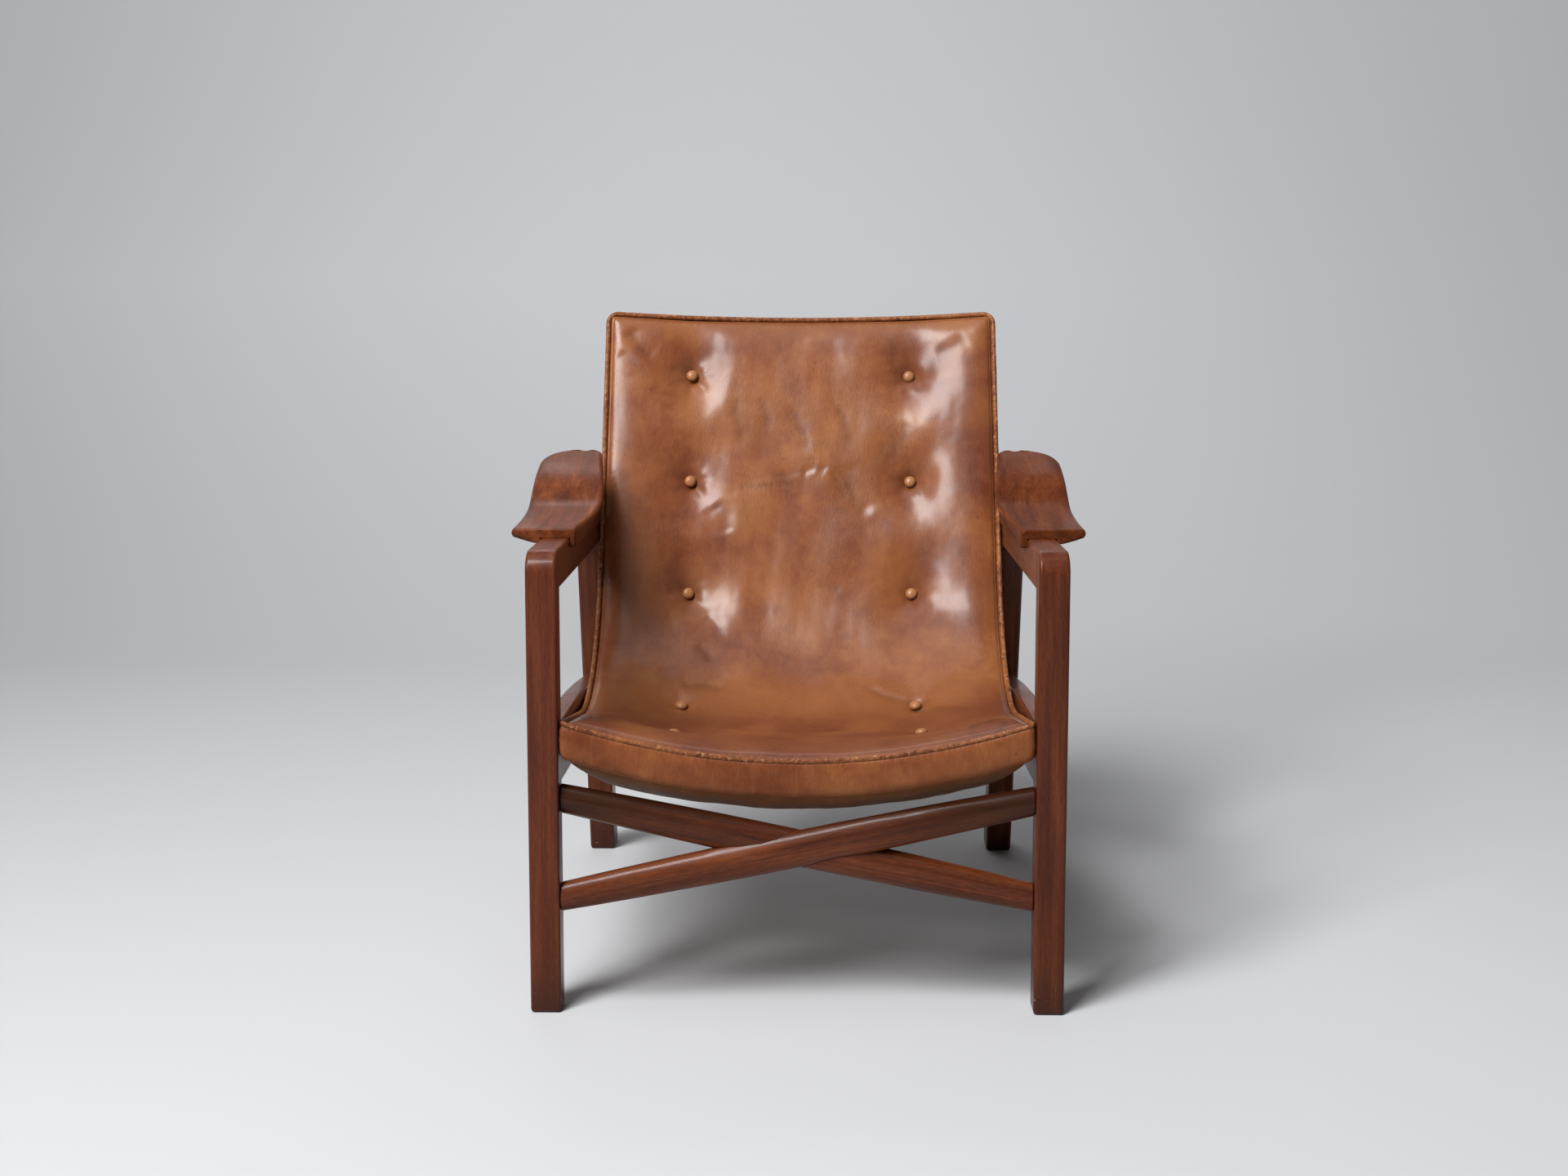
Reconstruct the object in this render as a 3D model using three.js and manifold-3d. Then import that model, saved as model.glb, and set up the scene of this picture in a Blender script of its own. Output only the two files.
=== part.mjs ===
// A low easy chair: a mahogany frame of two sides and two crossed stretchers, and between the sides
// a dished leather shell, tufted with covered buttons. Millimetres, +Z up, front towards -Y.
import * as THREE from "three";
import { mergeVertices } from "three/addons/utils/BufferGeometryUtils.js";
import Module from "manifold-3d";

const wasm = await Module();
wasm.setup();

// The side frames
const frameWidth = 628;
const frameThickness = 36;
const frontLegDepth = 36;
const armRailHeight = 48;
const armRailRise = 201;
const armRailSlopeShare = 0.031;
const kneeRadius = 27;
const rearLegSetback = 48.15;
const rearFootDepth = 50;
const rearLegTopDepth = 43;
const rearLegRakeShare = 0.281;
const railEndOverhang = 7;
const railEndRadius = 19;
const arris = 4;
const footChamfer = 3;
const jointFit = 0.3;
const jointOverlap = 2;

// Mortises and tenons
const tenonThickness = 12;
const tenonLength = 24;
const armTenonHeight = 26;
const rearTenonDepth = 26;
const sideTenonHeight = 34;
const roundTenon = 18;

// The side rails of the seat
const seatRailThickness = 26;
const seatRailInset = 1;
const seatRailDrop = 12;
const seatRailFrontHeight = 68;
const seatRailFall = 51;
const seatRailRearHeight = 50;
const seatRailCrown = 10;
const seatRailHidden = 16;

// The crossed stretchers
const stretcherHighDrop = 94.5;
const stretcherLowDrop = 212;
const stretcherEndHeight = 35;
const stretcherMiddleHeight = 45;
const stretcherEndDepth = 26;
const stretcherMiddleDepth = 30;
const stretcherStagger = 3;
const stretcherEase = 1.6;

// The armrests
const armrestFrontAt = 135;
const armrestLength = 290;
const armrestOverhang = 36;
const armrestInnerProud = 7.5;
const armrestFrontRise = 7.5;
const armrestRearRise = 71;
const armrestLip = 12;
const armrestLipThickness = 7;
const armrestEdge = 12;
const armrestRearEdge = 21;
const armrestOuterRebate = 7;
const armrestCornerRadius = 44;
const armrestInnerRadius = 12;
const armrestFaceRadius = 5;
const armrestNose = 5;
const armrestFlare = 16;
const armrestFrontCorner = 8;

// The shell: its profile from the side, its dish and its outline
const shellGap = 1.5;
const shellFrontAt = 1;
const shellFrontHeight = 349;
const seatRun = 190;
const seatFallDegrees = 10;
const uprightRun = 130;
const bendRadius = 225;
const backReclineDegrees = 23;
const shellLength = 879;
const frontDish = 45;
const topDish = 27;
const shellThickness = 42;
const frontCorner = 9;
const topCorner = 18;

// The leather and the padding
const leather = 2.5;
const pipingDiameter = 6.4;
const softFit = 0.3;
const seatCrown = 22;
const backCrown = 10;
const crownEdge = 34;
const padDepth = 12;
const tuftDepth = 9;
const tuftRadius = 34;
const borderHem = 9;
const borderEase = 4;
const backBulge = 5;
const seatBulge = 15;

// The frame inside the leather
const stileWidth = 30;
const panelThickness = 6;

// The covered buttons
const buttonDiameter = 16;
const buttonHeight = 6;
const buttonShank = 4;
const buttonStand = 3.2;
const buttonSpread = 308;
const buttonRows = [155, 292, 473, 632, 788];

// The screws
const shellScrewShank = 6;
const shellScrewHead = 13;
const shellScrewHeadHeight = 3.5;
const shellScrewReach = 20;
const armScrewShank = 5;
const armScrewHead = 10;
const armScrewHeadHeight = 3;
const armScrewSink = 14;
const armScrewReach = 8;
const armScrewPlaces = [172, 246];
const backScrewRise = 5.7;
const seatScrewPlaces = [90, 235];
const screwFit = 0.3;

// Fineness of the curved faces
const arrisSteps = 3;
const curveSteps = 10;
const cornerSteps = 5;
const roundSides = 12;
const headSides = 16;
const pipingSides = 6;
const weldDistance = 1e-4;

// Sizes that follow from the ones above
const frameOuter = frameWidth / 2;
const frameInner = frameOuter - frameThickness;
const frameMiddle = (frameOuter + frameInner) / 2;
const overrun = frameThickness * 2;
const rad = THREE.MathUtils.degToRad;
const fall = rad(seatFallDegrees);
const recline = Math.PI / 2 - rad(backReclineDegrees);
const bendLength = bendRadius * (recline + fall);
const bendEndAt = shellFrontAt + seatRun * Math.cos(fall)
  + bendRadius * (Math.sin(recline) + Math.sin(fall));
const bendEndHeight = shellFrontHeight - seatRun * Math.sin(fall)
  + bendRadius * (Math.cos(fall) - Math.cos(recline));
const shellHalf = frameInner - shellGap;
const armRailTop = shellFrontHeight + armRailRise;
const rearFootAt = bendEndAt + rearLegSetback + rearLegRakeShare * armRailTop;
const overallDepth = rearFootAt + rearFootDepth;
const seatRailFrontTop = shellFrontHeight - seatRailDrop;
const seatRailFrontBottom = seatRailFrontTop - seatRailFrontHeight;
const seatRailRearTop = seatRailFrontTop - seatRailFall;
const seatRailRearBottom = seatRailRearTop - seatRailRearHeight;
const stretcherHighAt = shellFrontHeight - stretcherHighDrop;
const stretcherLowAt = shellFrontHeight - stretcherLowDrop;
const armrestOuterAt = frameOuter + armrestOverhang;
const armrestInnerAt = frameInner - armrestInnerProud;
const armrestFrontTop = armRailTop + armrestFrontRise;
const armrestRearTop = armRailTop + armrestRearRise;

const wood = { colour: 0x6b3520, roughness: 0.42 };
const hide = { colour: 0x935634, roughness: 0.4 };
const hideTrim = { colour: 0xa5673a, roughness: 0.45 };
const innerWood = { colour: 0xb89468, roughness: 0.8 };
const brass = { colour: 0xa88a4a, roughness: 0.35, metalness: 1 };

const chair = new THREE.Group();
const assembly = new THREE.Group();
assembly.position.y = -overallDepth / 2;
chair.add(assembly);

function addPiece(name, solid, look) {
  const material = new THREE.MeshStandardMaterial({
    color: look.colour,
    roughness: look.roughness,
    metalness: look.metalness ?? 0,
  });
  const geometry = solid.isBufferGeometry ? solid : toGeometry(solid);
  const mesh = new THREE.Mesh(geometry, material);
  mesh.name = name;
  assembly.add(mesh);
  return mesh;
}

// Solids for cutting and joining

function toSolid(geometry) {
  const bare = geometry.clone();
  bare.deleteAttribute("normal");
  bare.deleteAttribute("uv");
  const merged = mergeVertices(bare.index ? bare.toNonIndexed() : bare, weldDistance);
  return new wasm.Manifold(new wasm.Mesh({
    numProp: 3,
    vertProperties: new Float32Array(merged.attributes.position.array),
    triVerts: new Uint32Array(merged.index.array),
  }));
}

function toGeometry(solid) {
  const mesh = solid.getMesh();
  const geometry = new THREE.BufferGeometry();
  geometry.setAttribute("position", new THREE.BufferAttribute(mesh.vertProperties, mesh.numProp));
  geometry.setIndex(new THREE.BufferAttribute(mesh.triVerts, 1));
  return geometry;
}

function block(x0, x1, y0, y1, z0, z1) {
  const box = new THREE.BoxGeometry(x1 - x0, y1 - y0, z1 - z0);
  box.translate((x0 + x1) / 2, (y0 + y1) / 2, (z0 + z1) / 2);
  return toSolid(box);
}

function rod(diameter, length, centre, axis) {
  const cylinder = new THREE.CylinderGeometry(diameter / 2, diameter / 2, length, roundSides);
  const turn = new THREE.Quaternion().setFromUnitVectors(new THREE.Vector3(0, 1, 0), axis);
  cylinder.applyQuaternion(turn);
  cylinder.translate(centre.x, centre.y, centre.z);
  return toSolid(cylinder);
}

// A shape drawn from the side, in depth and height, given a width across the chair
const fromTheSide = new THREE.Matrix4().makeBasis(
  new THREE.Vector3(0, 1, 0),
  new THREE.Vector3(0, 0, 1),
  new THREE.Vector3(1, 0, 0),
);

function sideBoard(shape, thickness, centre, edge) {
  const board = new THREE.ExtrudeGeometry(shape, {
    depth: thickness - 2 * edge,
    bevelEnabled: edge > 0,
    bevelThickness: edge,
    bevelSize: edge,
    bevelOffset: -edge,
    bevelSegments: arrisSteps,
    curveSegments: curveSteps,
  });
  board.translate(0, 0, edge - thickness / 2);
  board.applyMatrix4(fromTheSide);
  board.translate(centre, 0, 0);
  return toSolid(board);
}

function sidePrism(points) {
  const shape = new THREE.Shape(points.map(([y, z]) => new THREE.Vector2(y, z)));
  return sideBoard(shape, frameThickness + overrun, frameMiddle, 0);
}

// The lines that the pieces of a side frame share

function armRailTopAt(y) {
  return armRailTop - armRailSlopeShare * y;
}

function armRailUnderAt(y) {
  return armRailTopAt(y) - armRailHeight;
}

function rearLegFrontAt(z) {
  return rearFootAt - rearLegRakeShare * z;
}

const rearLegTop = armRailUnderAt(rearFootAt - rearLegRakeShare * armRailTop);
const rearLegTopFront = rearLegFrontAt(rearLegTop);
const rearLegTopBack = rearLegTopFront + rearLegTopDepth;
const railEnd = rearLegTopBack + railEndOverhang;

// Front leg, arm rail and rear leg are drawn as one outline, so that their faces run through
function sideFrameOutline() {
  const shape = new THREE.Shape();
  shape.moveTo(footChamfer, 0);
  shape.lineTo(frontLegDepth - footChamfer, 0);
  shape.lineTo(frontLegDepth, footChamfer);
  shape.lineTo(frontLegDepth, armRailUnderAt(frontLegDepth));
  shape.lineTo(rearLegTopFront, rearLegTop);
  shape.lineTo(rearLegFrontAt(footChamfer), footChamfer);
  shape.lineTo(rearFootAt + footChamfer, 0);
  shape.lineTo(rearFootAt + rearFootDepth - footChamfer, 0);
  shape.lineTo(rearFootAt + rearFootDepth, footChamfer);
  shape.lineTo(rearLegTopBack, armRailUnderAt(rearLegTopBack));
  const endTop = armRailTopAt(railEnd);
  const endMiddle = endTop - railEndRadius;
  shape.quadraticCurveTo(railEnd, armRailUnderAt(rearLegTopBack) + railEndOverhang, railEnd, endMiddle);
  const curveEnd = railEnd - railEndRadius;
  shape.quadraticCurveTo(railEnd, endTop, curveEnd, armRailTopAt(curveEnd));
  shape.lineTo(kneeRadius, armRailTopAt(kneeRadius));
  const kneeCentre = armRailTopAt(kneeRadius) - kneeRadius;
  shape.absarc(kneeRadius, kneeCentre, kneeRadius, Math.PI / 2, Math.PI, false);
  shape.lineTo(0, footChamfer);
  shape.closePath();
  return shape;
}

// A convex side rail, narrower towards the rear leg
function seatRailTopAt(y) {
  const share = (y - frontLegDepth) / (rearLegFrontAt(seatRailRearTop) - frontLegDepth);
  const chord = seatRailFrontTop + (seatRailRearTop - seatRailFrontTop) * share;
  return chord + seatRailCrown * (1 - (2 * share - 1) ** 2);
}

function seatRailOutline() {
  const shape = new THREE.Shape();
  const first = frontLegDepth - 2 * arris;
  const last = rearLegFrontAt(seatRailRearTop) + seatRailHidden;
  shape.moveTo(first, seatRailFrontBottom);
  shape.lineTo(last, seatRailRearBottom);
  for (let step = 0; step <= curveSteps; step += 1) {
    const y = last + (first - last) * step / curveSteps;
    shape.lineTo(y, seatRailTopAt(y));
  }
  shape.closePath();
  return shape;
}

// The crossed stretchers: swelling bars of oval section, half lapped where they cross

const stretcherReach = frameInner - jointFit;
const lapAt = frontLegDepth / 2;

function stretcherSection(share, grow) {
  const swell = 1 - share * share;
  return {
    height: (stretcherEndHeight + (stretcherMiddleHeight - stretcherEndHeight) * swell) / 2 + grow,
    depth: (stretcherEndDepth + (stretcherMiddleDepth - stretcherEndDepth) * swell) / 2 + grow,
  };
}

function stretcherBar(direction, depthAt, grow) {
  const rings = [];
  const count = curveSteps + 2;
  const ends = [-1, ...Array.from({ length: count + 1 }, (_, i) => (2 * i / count - 1)), 1];
  ends.forEach((share, i) => {
    const outermost = i === 0 || i === ends.length - 1;
    const beside = i === 1 || i === ends.length - 2;
    const x = share * stretcherReach - (beside ? Math.sign(share) * stretcherEase : 0);
    const z = (stretcherHighAt + stretcherLowAt) / 2
      + direction * (stretcherHighAt - stretcherLowAt) / 2 * x / stretcherReach;
    const section = stretcherSection(x / stretcherReach, grow);
    const eased = outermost ? stretcherEase : 0;
    rings.push(Array.from({ length: headSides }, (_, k) => {
      const angle = 2 * Math.PI * k / headSides;
      return new THREE.Vector3(
        x,
        depthAt + (section.depth - eased) * Math.cos(angle),
        z + (section.height - eased) * Math.sin(angle),
      );
    }));
  });
  return toSolid(loft(rings));
}

// A closed body through rings of equal count
function loft(rings) {
  const positions = [];
  const index = [];
  rings.flat().forEach((p) => positions.push(p.x, p.y, p.z));
  const count = rings[0].length;
  for (let i = 0; i + 1 < rings.length; i += 1) {
    for (let k = 0; k < count; k += 1) {
      const a = i * count + k;
      const b = i * count + (k + 1) % count;
      index.push(a, b, b + count, a, b + count, a + count);
    }
  }
  const last = (rings.length - 1) * count;
  capTriangles(rings[0]).forEach(([a, b, c]) => index.push(a, c, b));
  const farCap = capTriangles(rings[rings.length - 1]);
  farCap.forEach(([a, b, c]) => index.push(last + a, last + b, last + c));
  return facingOut(positions, index);
}

// A ring filled with triangles that run the way the ring does, seen along its thinnest axis
function capTriangles(ring) {
  const size = new THREE.Box3().setFromPoints(ring).getSize(new THREE.Vector3());
  const flat = size.x < size.y
    ? ring.map((p) => new THREE.Vector2(p.y, p.z))
    : ring.map((p) => new THREE.Vector2(p.x, p.z));
  return THREE.ShapeUtils.triangulateShape(flat, []).map((corners) => corners.toSorted((a, b) => a - b));
}

function facingOut(positions, index) {
  let volume = 0;
  const corner = (i) => new THREE.Vector3().fromArray(positions, 3 * i);
  for (let t = 0; t < index.length; t += 3) {
    const a = corner(index[t]);
    const b = corner(index[t + 1]);
    const c = corner(index[t + 2]);
    volume += a.dot(b.cross(c));
  }
  const geometry = new THREE.BufferGeometry();
  geometry.setAttribute("position", new THREE.Float32BufferAttribute(positions, 3));
  geometry.setIndex(volume > 0 ? index : index.toReversed());
  return geometry;
}

// The armrest, drawn for the right side: sections across the chair, one behind the other.
// Its top is nearly flat in front and sweeps up behind. A lip hooks over the inner face of the
// arm rail, and the underside falls from the thin outer edge to the outer face of the rail.

const armrestRiseShares = [
  [0, 0], [0.15, 0.006], [0.29, 0.027], [0.42, 0.075], [0.5, 0.13], [0.55, 0.2], [0.6, 0.325],
  [0.65, 0.485], [0.71, 0.635], [0.785, 0.765], [0.86, 0.866], [0.93, 0.945], [1, 1],
];
const armrestFlareShares = [
  [0, 0], [0.1, 0.1], [0.25, 0.35], [0.45, 0.75], [0.57, 1], [0.7, 0.76], [0.85, 0.4], [1, 0],
];
const armrestLeanShare = 0.3;
const armrestHollowShare = 0.2;
const armrestScoopShare = 0.42;
const armrestRollShare = 0.18;
const noseSetShare = 0.17;
const noseOutShare = 0.33;

function alongShares(table, share) {
  const next = table.findIndex(([at]) => at >= share);
  if (next <= 0) return table[0][1];
  const [a, from] = table[next - 1];
  const [b, to] = table[next];
  return from + (to - from) * (share - a) / (b - a);
}

function roundedCornerInset(fromEnd, radius) {
  const inside = Math.min(Math.max(fromEnd, 0), radius);
  return radius - Math.sqrt(radius * radius - (radius - inside) ** 2);
}

function armrestRing(share, shrink, forward) {
  const y = armrestFrontAt + armrestLength * share + forward;
  const fromStart = armrestLength * share + forward;
  const fromEnd = armrestLength - fromStart;
  const railTop = armRailTopAt(y) + jointFit;
  const rise = (armrestRearTop - armrestFrontTop) * alongShares(armrestRiseShares, share);
  const top = armrestFrontTop + rise - shrink;
  const frontInset = roundedCornerInset(fromStart, armrestFrontCorner);
  const outer = armrestOuterAt - frontInset - roundedCornerInset(fromEnd, armrestCornerRadius) - shrink;
  const lipOutside = armrestInnerAt + roundedCornerInset(fromEnd, armrestInnerRadius) + shrink;
  const inner = lipOutside - armrestFlare * alongShares(armrestFlareShares, share);
  const edge = armrestEdge + (armrestRearEdge - armrestEdge) * share - 2 * shrink;
  const lip = railTop - armrestLip + shrink;
  const lipInside = frameInner - jointFit;
  const rebateAt = frameOuter + jointFit;
  const face = armrestFaceRadius;
  const under = railTop - armrestOuterRebate + shrink;
  const rebateOuter = rebateAt + armrestLipThickness;
  const low = Math.max(top - edge, under);
  const eased = face * (1 - Math.SQRT1_2);
  const lean = armrestLeanShare * share * share;
  const point = (x, z) => new THREE.Vector3(x, y + lean * (z - railTop), z);
  const lipFace = Math.min(lipOutside, lipInside - armrestLipThickness / 2);
  return [
    point(lipFace, lip),
    point(inner + (lipFace - inner) * armrestRollShare, top - 2 * face),
    point(inner, top - face),
    point(inner + eased, top - eased),
    point(inner + face, top),
    point((inner + outer) / 2, top - armrestHollowShare * face),
    point(outer - face, top),
    point(outer - eased, top - eased),
    point(outer, top - face),
    point(outer - eased / 2, (top - face + low) / 2),
    point(outer - face, low),
    point((outer - face + rebateOuter) / 2, low + (under - low) * armrestScoopShare),
    point(rebateOuter, under),
    point(rebateAt, under),
    point(rebateAt, railTop),
    point(lipInside, railTop),
    point(lipInside, lip),
  ];
}

function armrestBody() {
  const cornerShare = armrestCornerRadius / armrestLength;
  const stations = armrestRiseShares.map(([at]) => at).filter((at) => at > 0 && at < 1 - cornerShare);
  const rings = [armrestRing(0, armrestNose / 2, 0)];
  rings.push(armrestRing(0, armrestNose * noseSetShare, armrestNose * noseOutShare));
  rings.push(armrestRing(0, 0, armrestNose));
  stations.forEach((share) => rings.push(armrestRing(share, 0, 0)));
  for (let step = 0; step < cornerSteps; step += 1) {
    const turn = (Math.PI / 2) * step / cornerSteps;
    rings.push(armrestRing(1 - cornerShare * (1 - Math.sin(turn)), 0, 0));
  }
  rings.push(armrestRing(1, armrestNose / 2, 0));
  return toSolid(loft(rings));
}

// Screws: a shank with a domed head, along an axis, with the head's seat at a point

const screwDomeShare = 0.33;

function screwSolid(shank, head, headHeight, length, seat, axis) {
  const profile = [
    new THREE.Vector2(0, length),
    new THREE.Vector2(shank / 2, length),
    new THREE.Vector2(shank / 2, 0),
    new THREE.Vector2(head / 2, 0),
    new THREE.Vector2(head / 2, -headHeight / 2),
    new THREE.Vector2(head * screwDomeShare, -headHeight),
    new THREE.Vector2(0, -headHeight),
  ];
  const body = new THREE.LatheGeometry(profile.toReversed(), roundSides);
  body.applyQuaternion(new THREE.Quaternion().setFromUnitVectors(new THREE.Vector3(0, 1, 0), axis));
  body.translate(seat.x, seat.y, seat.z);
  return toSolid(body);
}

// The shell. Its side profile runs from the front edge (0) to the top edge (shellLength): a seat
// that falls to the rear, a bend and a reclined back. Across, it is dished as a parabola.

function profileAt(s) {
  const alongSeat = Math.min(s, seatRun);
  const bend = Math.min(Math.max(s - seatRun, 0), bendLength) / bendRadius - fall;
  const alongBack = Math.max(s - seatRun - bendLength, 0);
  const y = shellFrontAt + alongSeat * Math.cos(fall)
    + bendRadius * (Math.sin(bend) + Math.sin(fall)) + alongBack * Math.cos(recline);
  const z = shellFrontHeight - alongSeat * Math.sin(fall)
    + bendRadius * (Math.cos(fall) - Math.cos(bend)) + alongBack * Math.sin(recline);
  return { y, z, direction: bend };
}

function dishAt(x, s) {
  const deepest = frontDish + (topDish - frontDish) * s / shellLength;
  return deepest * (1 - (x / shellHalf) ** 2);
}

// A point at x across, s along and n in front of the shell's face. Towards the front edge the
// direction of n turns upright, so that the front of the seat is plumb.
function shellPoint(x, s, n) {
  const { y, z, direction } = profileAt(s);
  const turned = direction * Math.min(Math.max(s, 0) / uprightRun, 1);
  const out = n - dishAt(x, s);
  return new THREE.Vector3(x, y - Math.sin(turned) * out, z + Math.cos(turned) * out);
}

function shellNormal(x, s) {
  const step = leather;
  const across = shellPoint(x + step, s, 0).sub(shellPoint(x - step, s, 0));
  const along = shellPoint(x, s + step, 0).sub(shellPoint(x, s - step, 0));
  return across.cross(along).normalize();
}

// Where the layers of the shell meet
const insideBorder = leather + softFit;
const underPiping = pipingDiameter / 2 + softFit;
const stileInner = shellHalf - insideBorder - stileWidth;
const stileFront = -padDepth - softFit;
const stileRear = -shellThickness + 2 * (leather + softFit);

// Rows and columns of the shell's outline, a rounded rectangle drawn in by an inset

const rowShares = [0.07, 0.12, 0.228, 0.27, 0.425, 0.47, 0.63, 0.67, 0.81, 0.86, 0.94];
const columnShares = [0.33, 0.74];
const buttonFlat = 9;
const cornerTurns = [0, 0.35, 0.7, 1];

function cornerRadii(inset) {
  return {
    front: Math.max(frontCorner - inset, leather / 2),
    top: Math.max(topCorner - inset, leather / 2),
  };
}

function rowsFor(inset) {
  const { front, top } = cornerRadii(inset);
  const across = (turn) => 1 - Math.cos(turn * Math.PI / 2);
  const first = cornerTurns.map((turn) => inset + front * across(turn));
  const last = cornerTurns.map((turn) => shellLength - inset - top * across(turn)).toReversed();
  const middle = rowShares.map((share) => share * shellLength);
  buttonRows.forEach((row) => middle.push(row - buttonFlat, row, row + buttonFlat));
  middle.sort((a, b) => a - b);
  return [...first, ...middle, ...last];
}

function edgeAt(s, inset) {
  const { front, top } = cornerRadii(inset);
  const radius = s < shellLength / 2 ? front : top;
  const fromEnd = Math.min(s, shellLength - s) - inset;
  return shellHalf - inset - roundedCornerInset(fromEnd, radius);
}

function columnsFor(s, inset) {
  const half = [0, columnShares[0] * shellHalf];
  half.push(buttonSpread / 2 - buttonFlat, buttonSpread / 2, buttonSpread / 2 + buttonFlat);
  half.push(columnShares[1] * shellHalf, stileInner, edgeAt(s, inset));
  return [...half.slice(1).toReversed().map((x) => -x), ...half];
}

// A face of the shell at an inset, its height in front of the shell given by a function
function shellFace(inset, heightAt) {
  return rowsFor(inset).map((s) => columnsFor(s, inset).map((x) => shellPoint(x, s, heightAt(x, s))));
}

function rimOf(face) {
  const front = face[0];
  const back = face[face.length - 1];
  const right = face.slice(1, -1).map((row) => row[row.length - 1]);
  const left = face.slice(1, -1).map((row) => row[0]).toReversed();
  return [...front, ...right, ...back.toReversed(), ...left];
}

function rimAt(inset, height) {
  return rimOf(shellFace(inset, () => height));
}

// A closed body from triangles of points; points that coincide become one
function bodyOf(triangles) {
  const positions = [];
  const found = new Map();
  const index = triangles.flat().map((p) => {
    const key = `${Math.fround(p.x)},${Math.fround(p.y)},${Math.fround(p.z)}`;
    if (!found.has(key)) {
      found.set(key, positions.length / 3);
      positions.push(p.x, p.y, p.z);
    }
    return found.get(key);
  });
  return facingOut(positions, index);
}

function band(lower, upper) {
  return lower.flatMap((a, i) => {
    const next = (i + 1) % lower.length;
    return [[a, lower[next], upper[next]], [a, upper[next], upper[i]]];
  });
}

function grid(face, turned) {
  const triangles = [];
  for (let i = 0; i + 1 < face.length; i += 1) {
    for (let j = 0; j + 1 < face[i].length; j += 1) {
      const [a, b] = [face[i][j], face[i][j + 1]];
      const [d, c] = [face[i + 1][j], face[i + 1][j + 1]];
      if (turned) triangles.push([a, c, b], [a, d, c]);
      else triangles.push([a, b, c], [a, c, d]);
    }
  }
  return triangles;
}

// A slab of the shell between two faces, with rims between them
function slab(front, rims, rear) {
  const loops = [rimOf(front), ...rims, rimOf(rear)];
  const triangles = [...grid(front, false), ...grid(rear, true)];
  for (let i = 0; i + 1 < loops.length; i += 1) triangles.push(...band(loops[i + 1], loops[i]));
  return bodyOf(triangles);
}

// A ring that follows the outline: its section is a closed list of rims
function outlineRing(rims) {
  return bodyOf(rims.flatMap((rim, i) => band(rim, rims[(i + 1) % rims.length])));
}

function pipingBody() {
  const radius = pipingDiameter / 2;
  return outlineRing(Array.from({ length: pipingSides }, (_, k) => {
    const angle = 2 * Math.PI * k / pipingSides;
    return rimAt(radius * (1 + Math.cos(angle)), radius * Math.sin(angle));
  }));
}

// A straight-sided member of the inner frame, between two lines across and two along
function innerMember(acrossAt, rows, front, rear) {
  const face = (height) => rows.map((s) => acrossAt(s).map((x) => shellPoint(x, s, height)));
  return slab(face(front), [], face(rear));
}

// The padding's swelling: it rises from the seams and is drawn down at the buttons
function crownAt(x, s) {
  const share = s / shellLength;
  const crown = seatCrown + (backCrown - seatCrown) * share;
  const fromEdge = Math.min(shellHalf - Math.abs(x), s, shellLength - s);
  const swelling = crown * (1 - Math.exp(-Math.max(fromEdge - pipingDiameter, 0) / crownEdge));
  const tufts = buttonRows.map((row) => {
    const away = Math.hypot(Math.abs(x) - buttonSpread / 2, s - row);
    return tuftDepth * Math.exp(-Math.max(away - buttonFlat, 0) / tuftRadius);
  });
  return swelling - Math.max(...tufts) * swelling / crown;
}

const buttonDomeShares = [[0.875, 0], [1, 0.33], [0.87, 0.66], [0.5, 0.93], [0, 1]];

function buttonBody(x, s) {
  const seat = crownAt(x, s) + softFit;
  const shank = [[0, 0], [buttonShank / 2, 0], [buttonShank / 2, buttonStand]];
  const dome = buttonDomeShares.map(([wide, high]) => [
    wide * buttonDiameter / 2,
    buttonStand + high * buttonHeight,
  ]);
  const profile = [...shank, ...dome].map(([radius, height]) => new THREE.Vector2(radius, height));
  const body = new THREE.LatheGeometry(profile, roundSides);
  const up = new THREE.Vector3(0, 1, 0);
  body.applyQuaternion(new THREE.Quaternion().setFromUnitVectors(up, shellNormal(x, s)));
  const at = shellPoint(x, s, seat);
  body.translate(at.x, at.y, at.z);
  return toSolid(body);
}

// The wooden frame, made for the right side and mirrored for the left

function mirrored(solid) {
  return solid.mirror([1, 0, 0]);
}

function armTenon(grow) {
  const top = armRailTopAt(frontLegDepth) - (armRailHeight - armTenonHeight) / 2;
  return block(
    frameMiddle - tenonThickness / 2 - grow, frameMiddle + tenonThickness / 2 + grow,
    frontLegDepth - tenonLength - grow, frontLegDepth + jointOverlap,
    top - armTenonHeight - grow, top + grow,
  );
}

function rearTenon(grow) {
  const middle = (rearLegTopFront + rearLegTopBack) / 2;
  return block(
    frameMiddle - tenonThickness / 2 - grow, frameMiddle + tenonThickness / 2 + grow,
    middle - rearTenonDepth / 2 - grow, middle + rearTenonDepth / 2 + grow,
    rearLegTop - 2 * jointOverlap, rearLegTop + tenonLength + grow,
  );
}

const seatRailMiddle = frameInner + seatRailInset + seatRailThickness / 2;

function seatTenon(from, to, height, grow) {
  return block(
    seatRailMiddle - tenonThickness / 2 - grow, seatRailMiddle + tenonThickness / 2 + grow,
    from, to, height - sideTenonHeight / 2 - grow, height + sideTenonHeight / 2 + grow,
  );
}

const frontSeatTenonHeight = (seatRailFrontTop + seatRailFrontBottom) / 2;
const rearSeatTenonHeight = (seatRailRearTop + seatRailRearBottom) / 2;
const rearSeatTenonAt = rearLegFrontAt(rearSeatTenonHeight);
const rearSeatTenonRoot = sideTenonHeight * rearLegRakeShare / 2 + 2 * jointOverlap;

function frontSeatTenon(grow) {
  const first = frontLegDepth - tenonLength - grow;
  return seatTenon(first, frontLegDepth + jointOverlap, frontSeatTenonHeight, grow);
}

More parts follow.
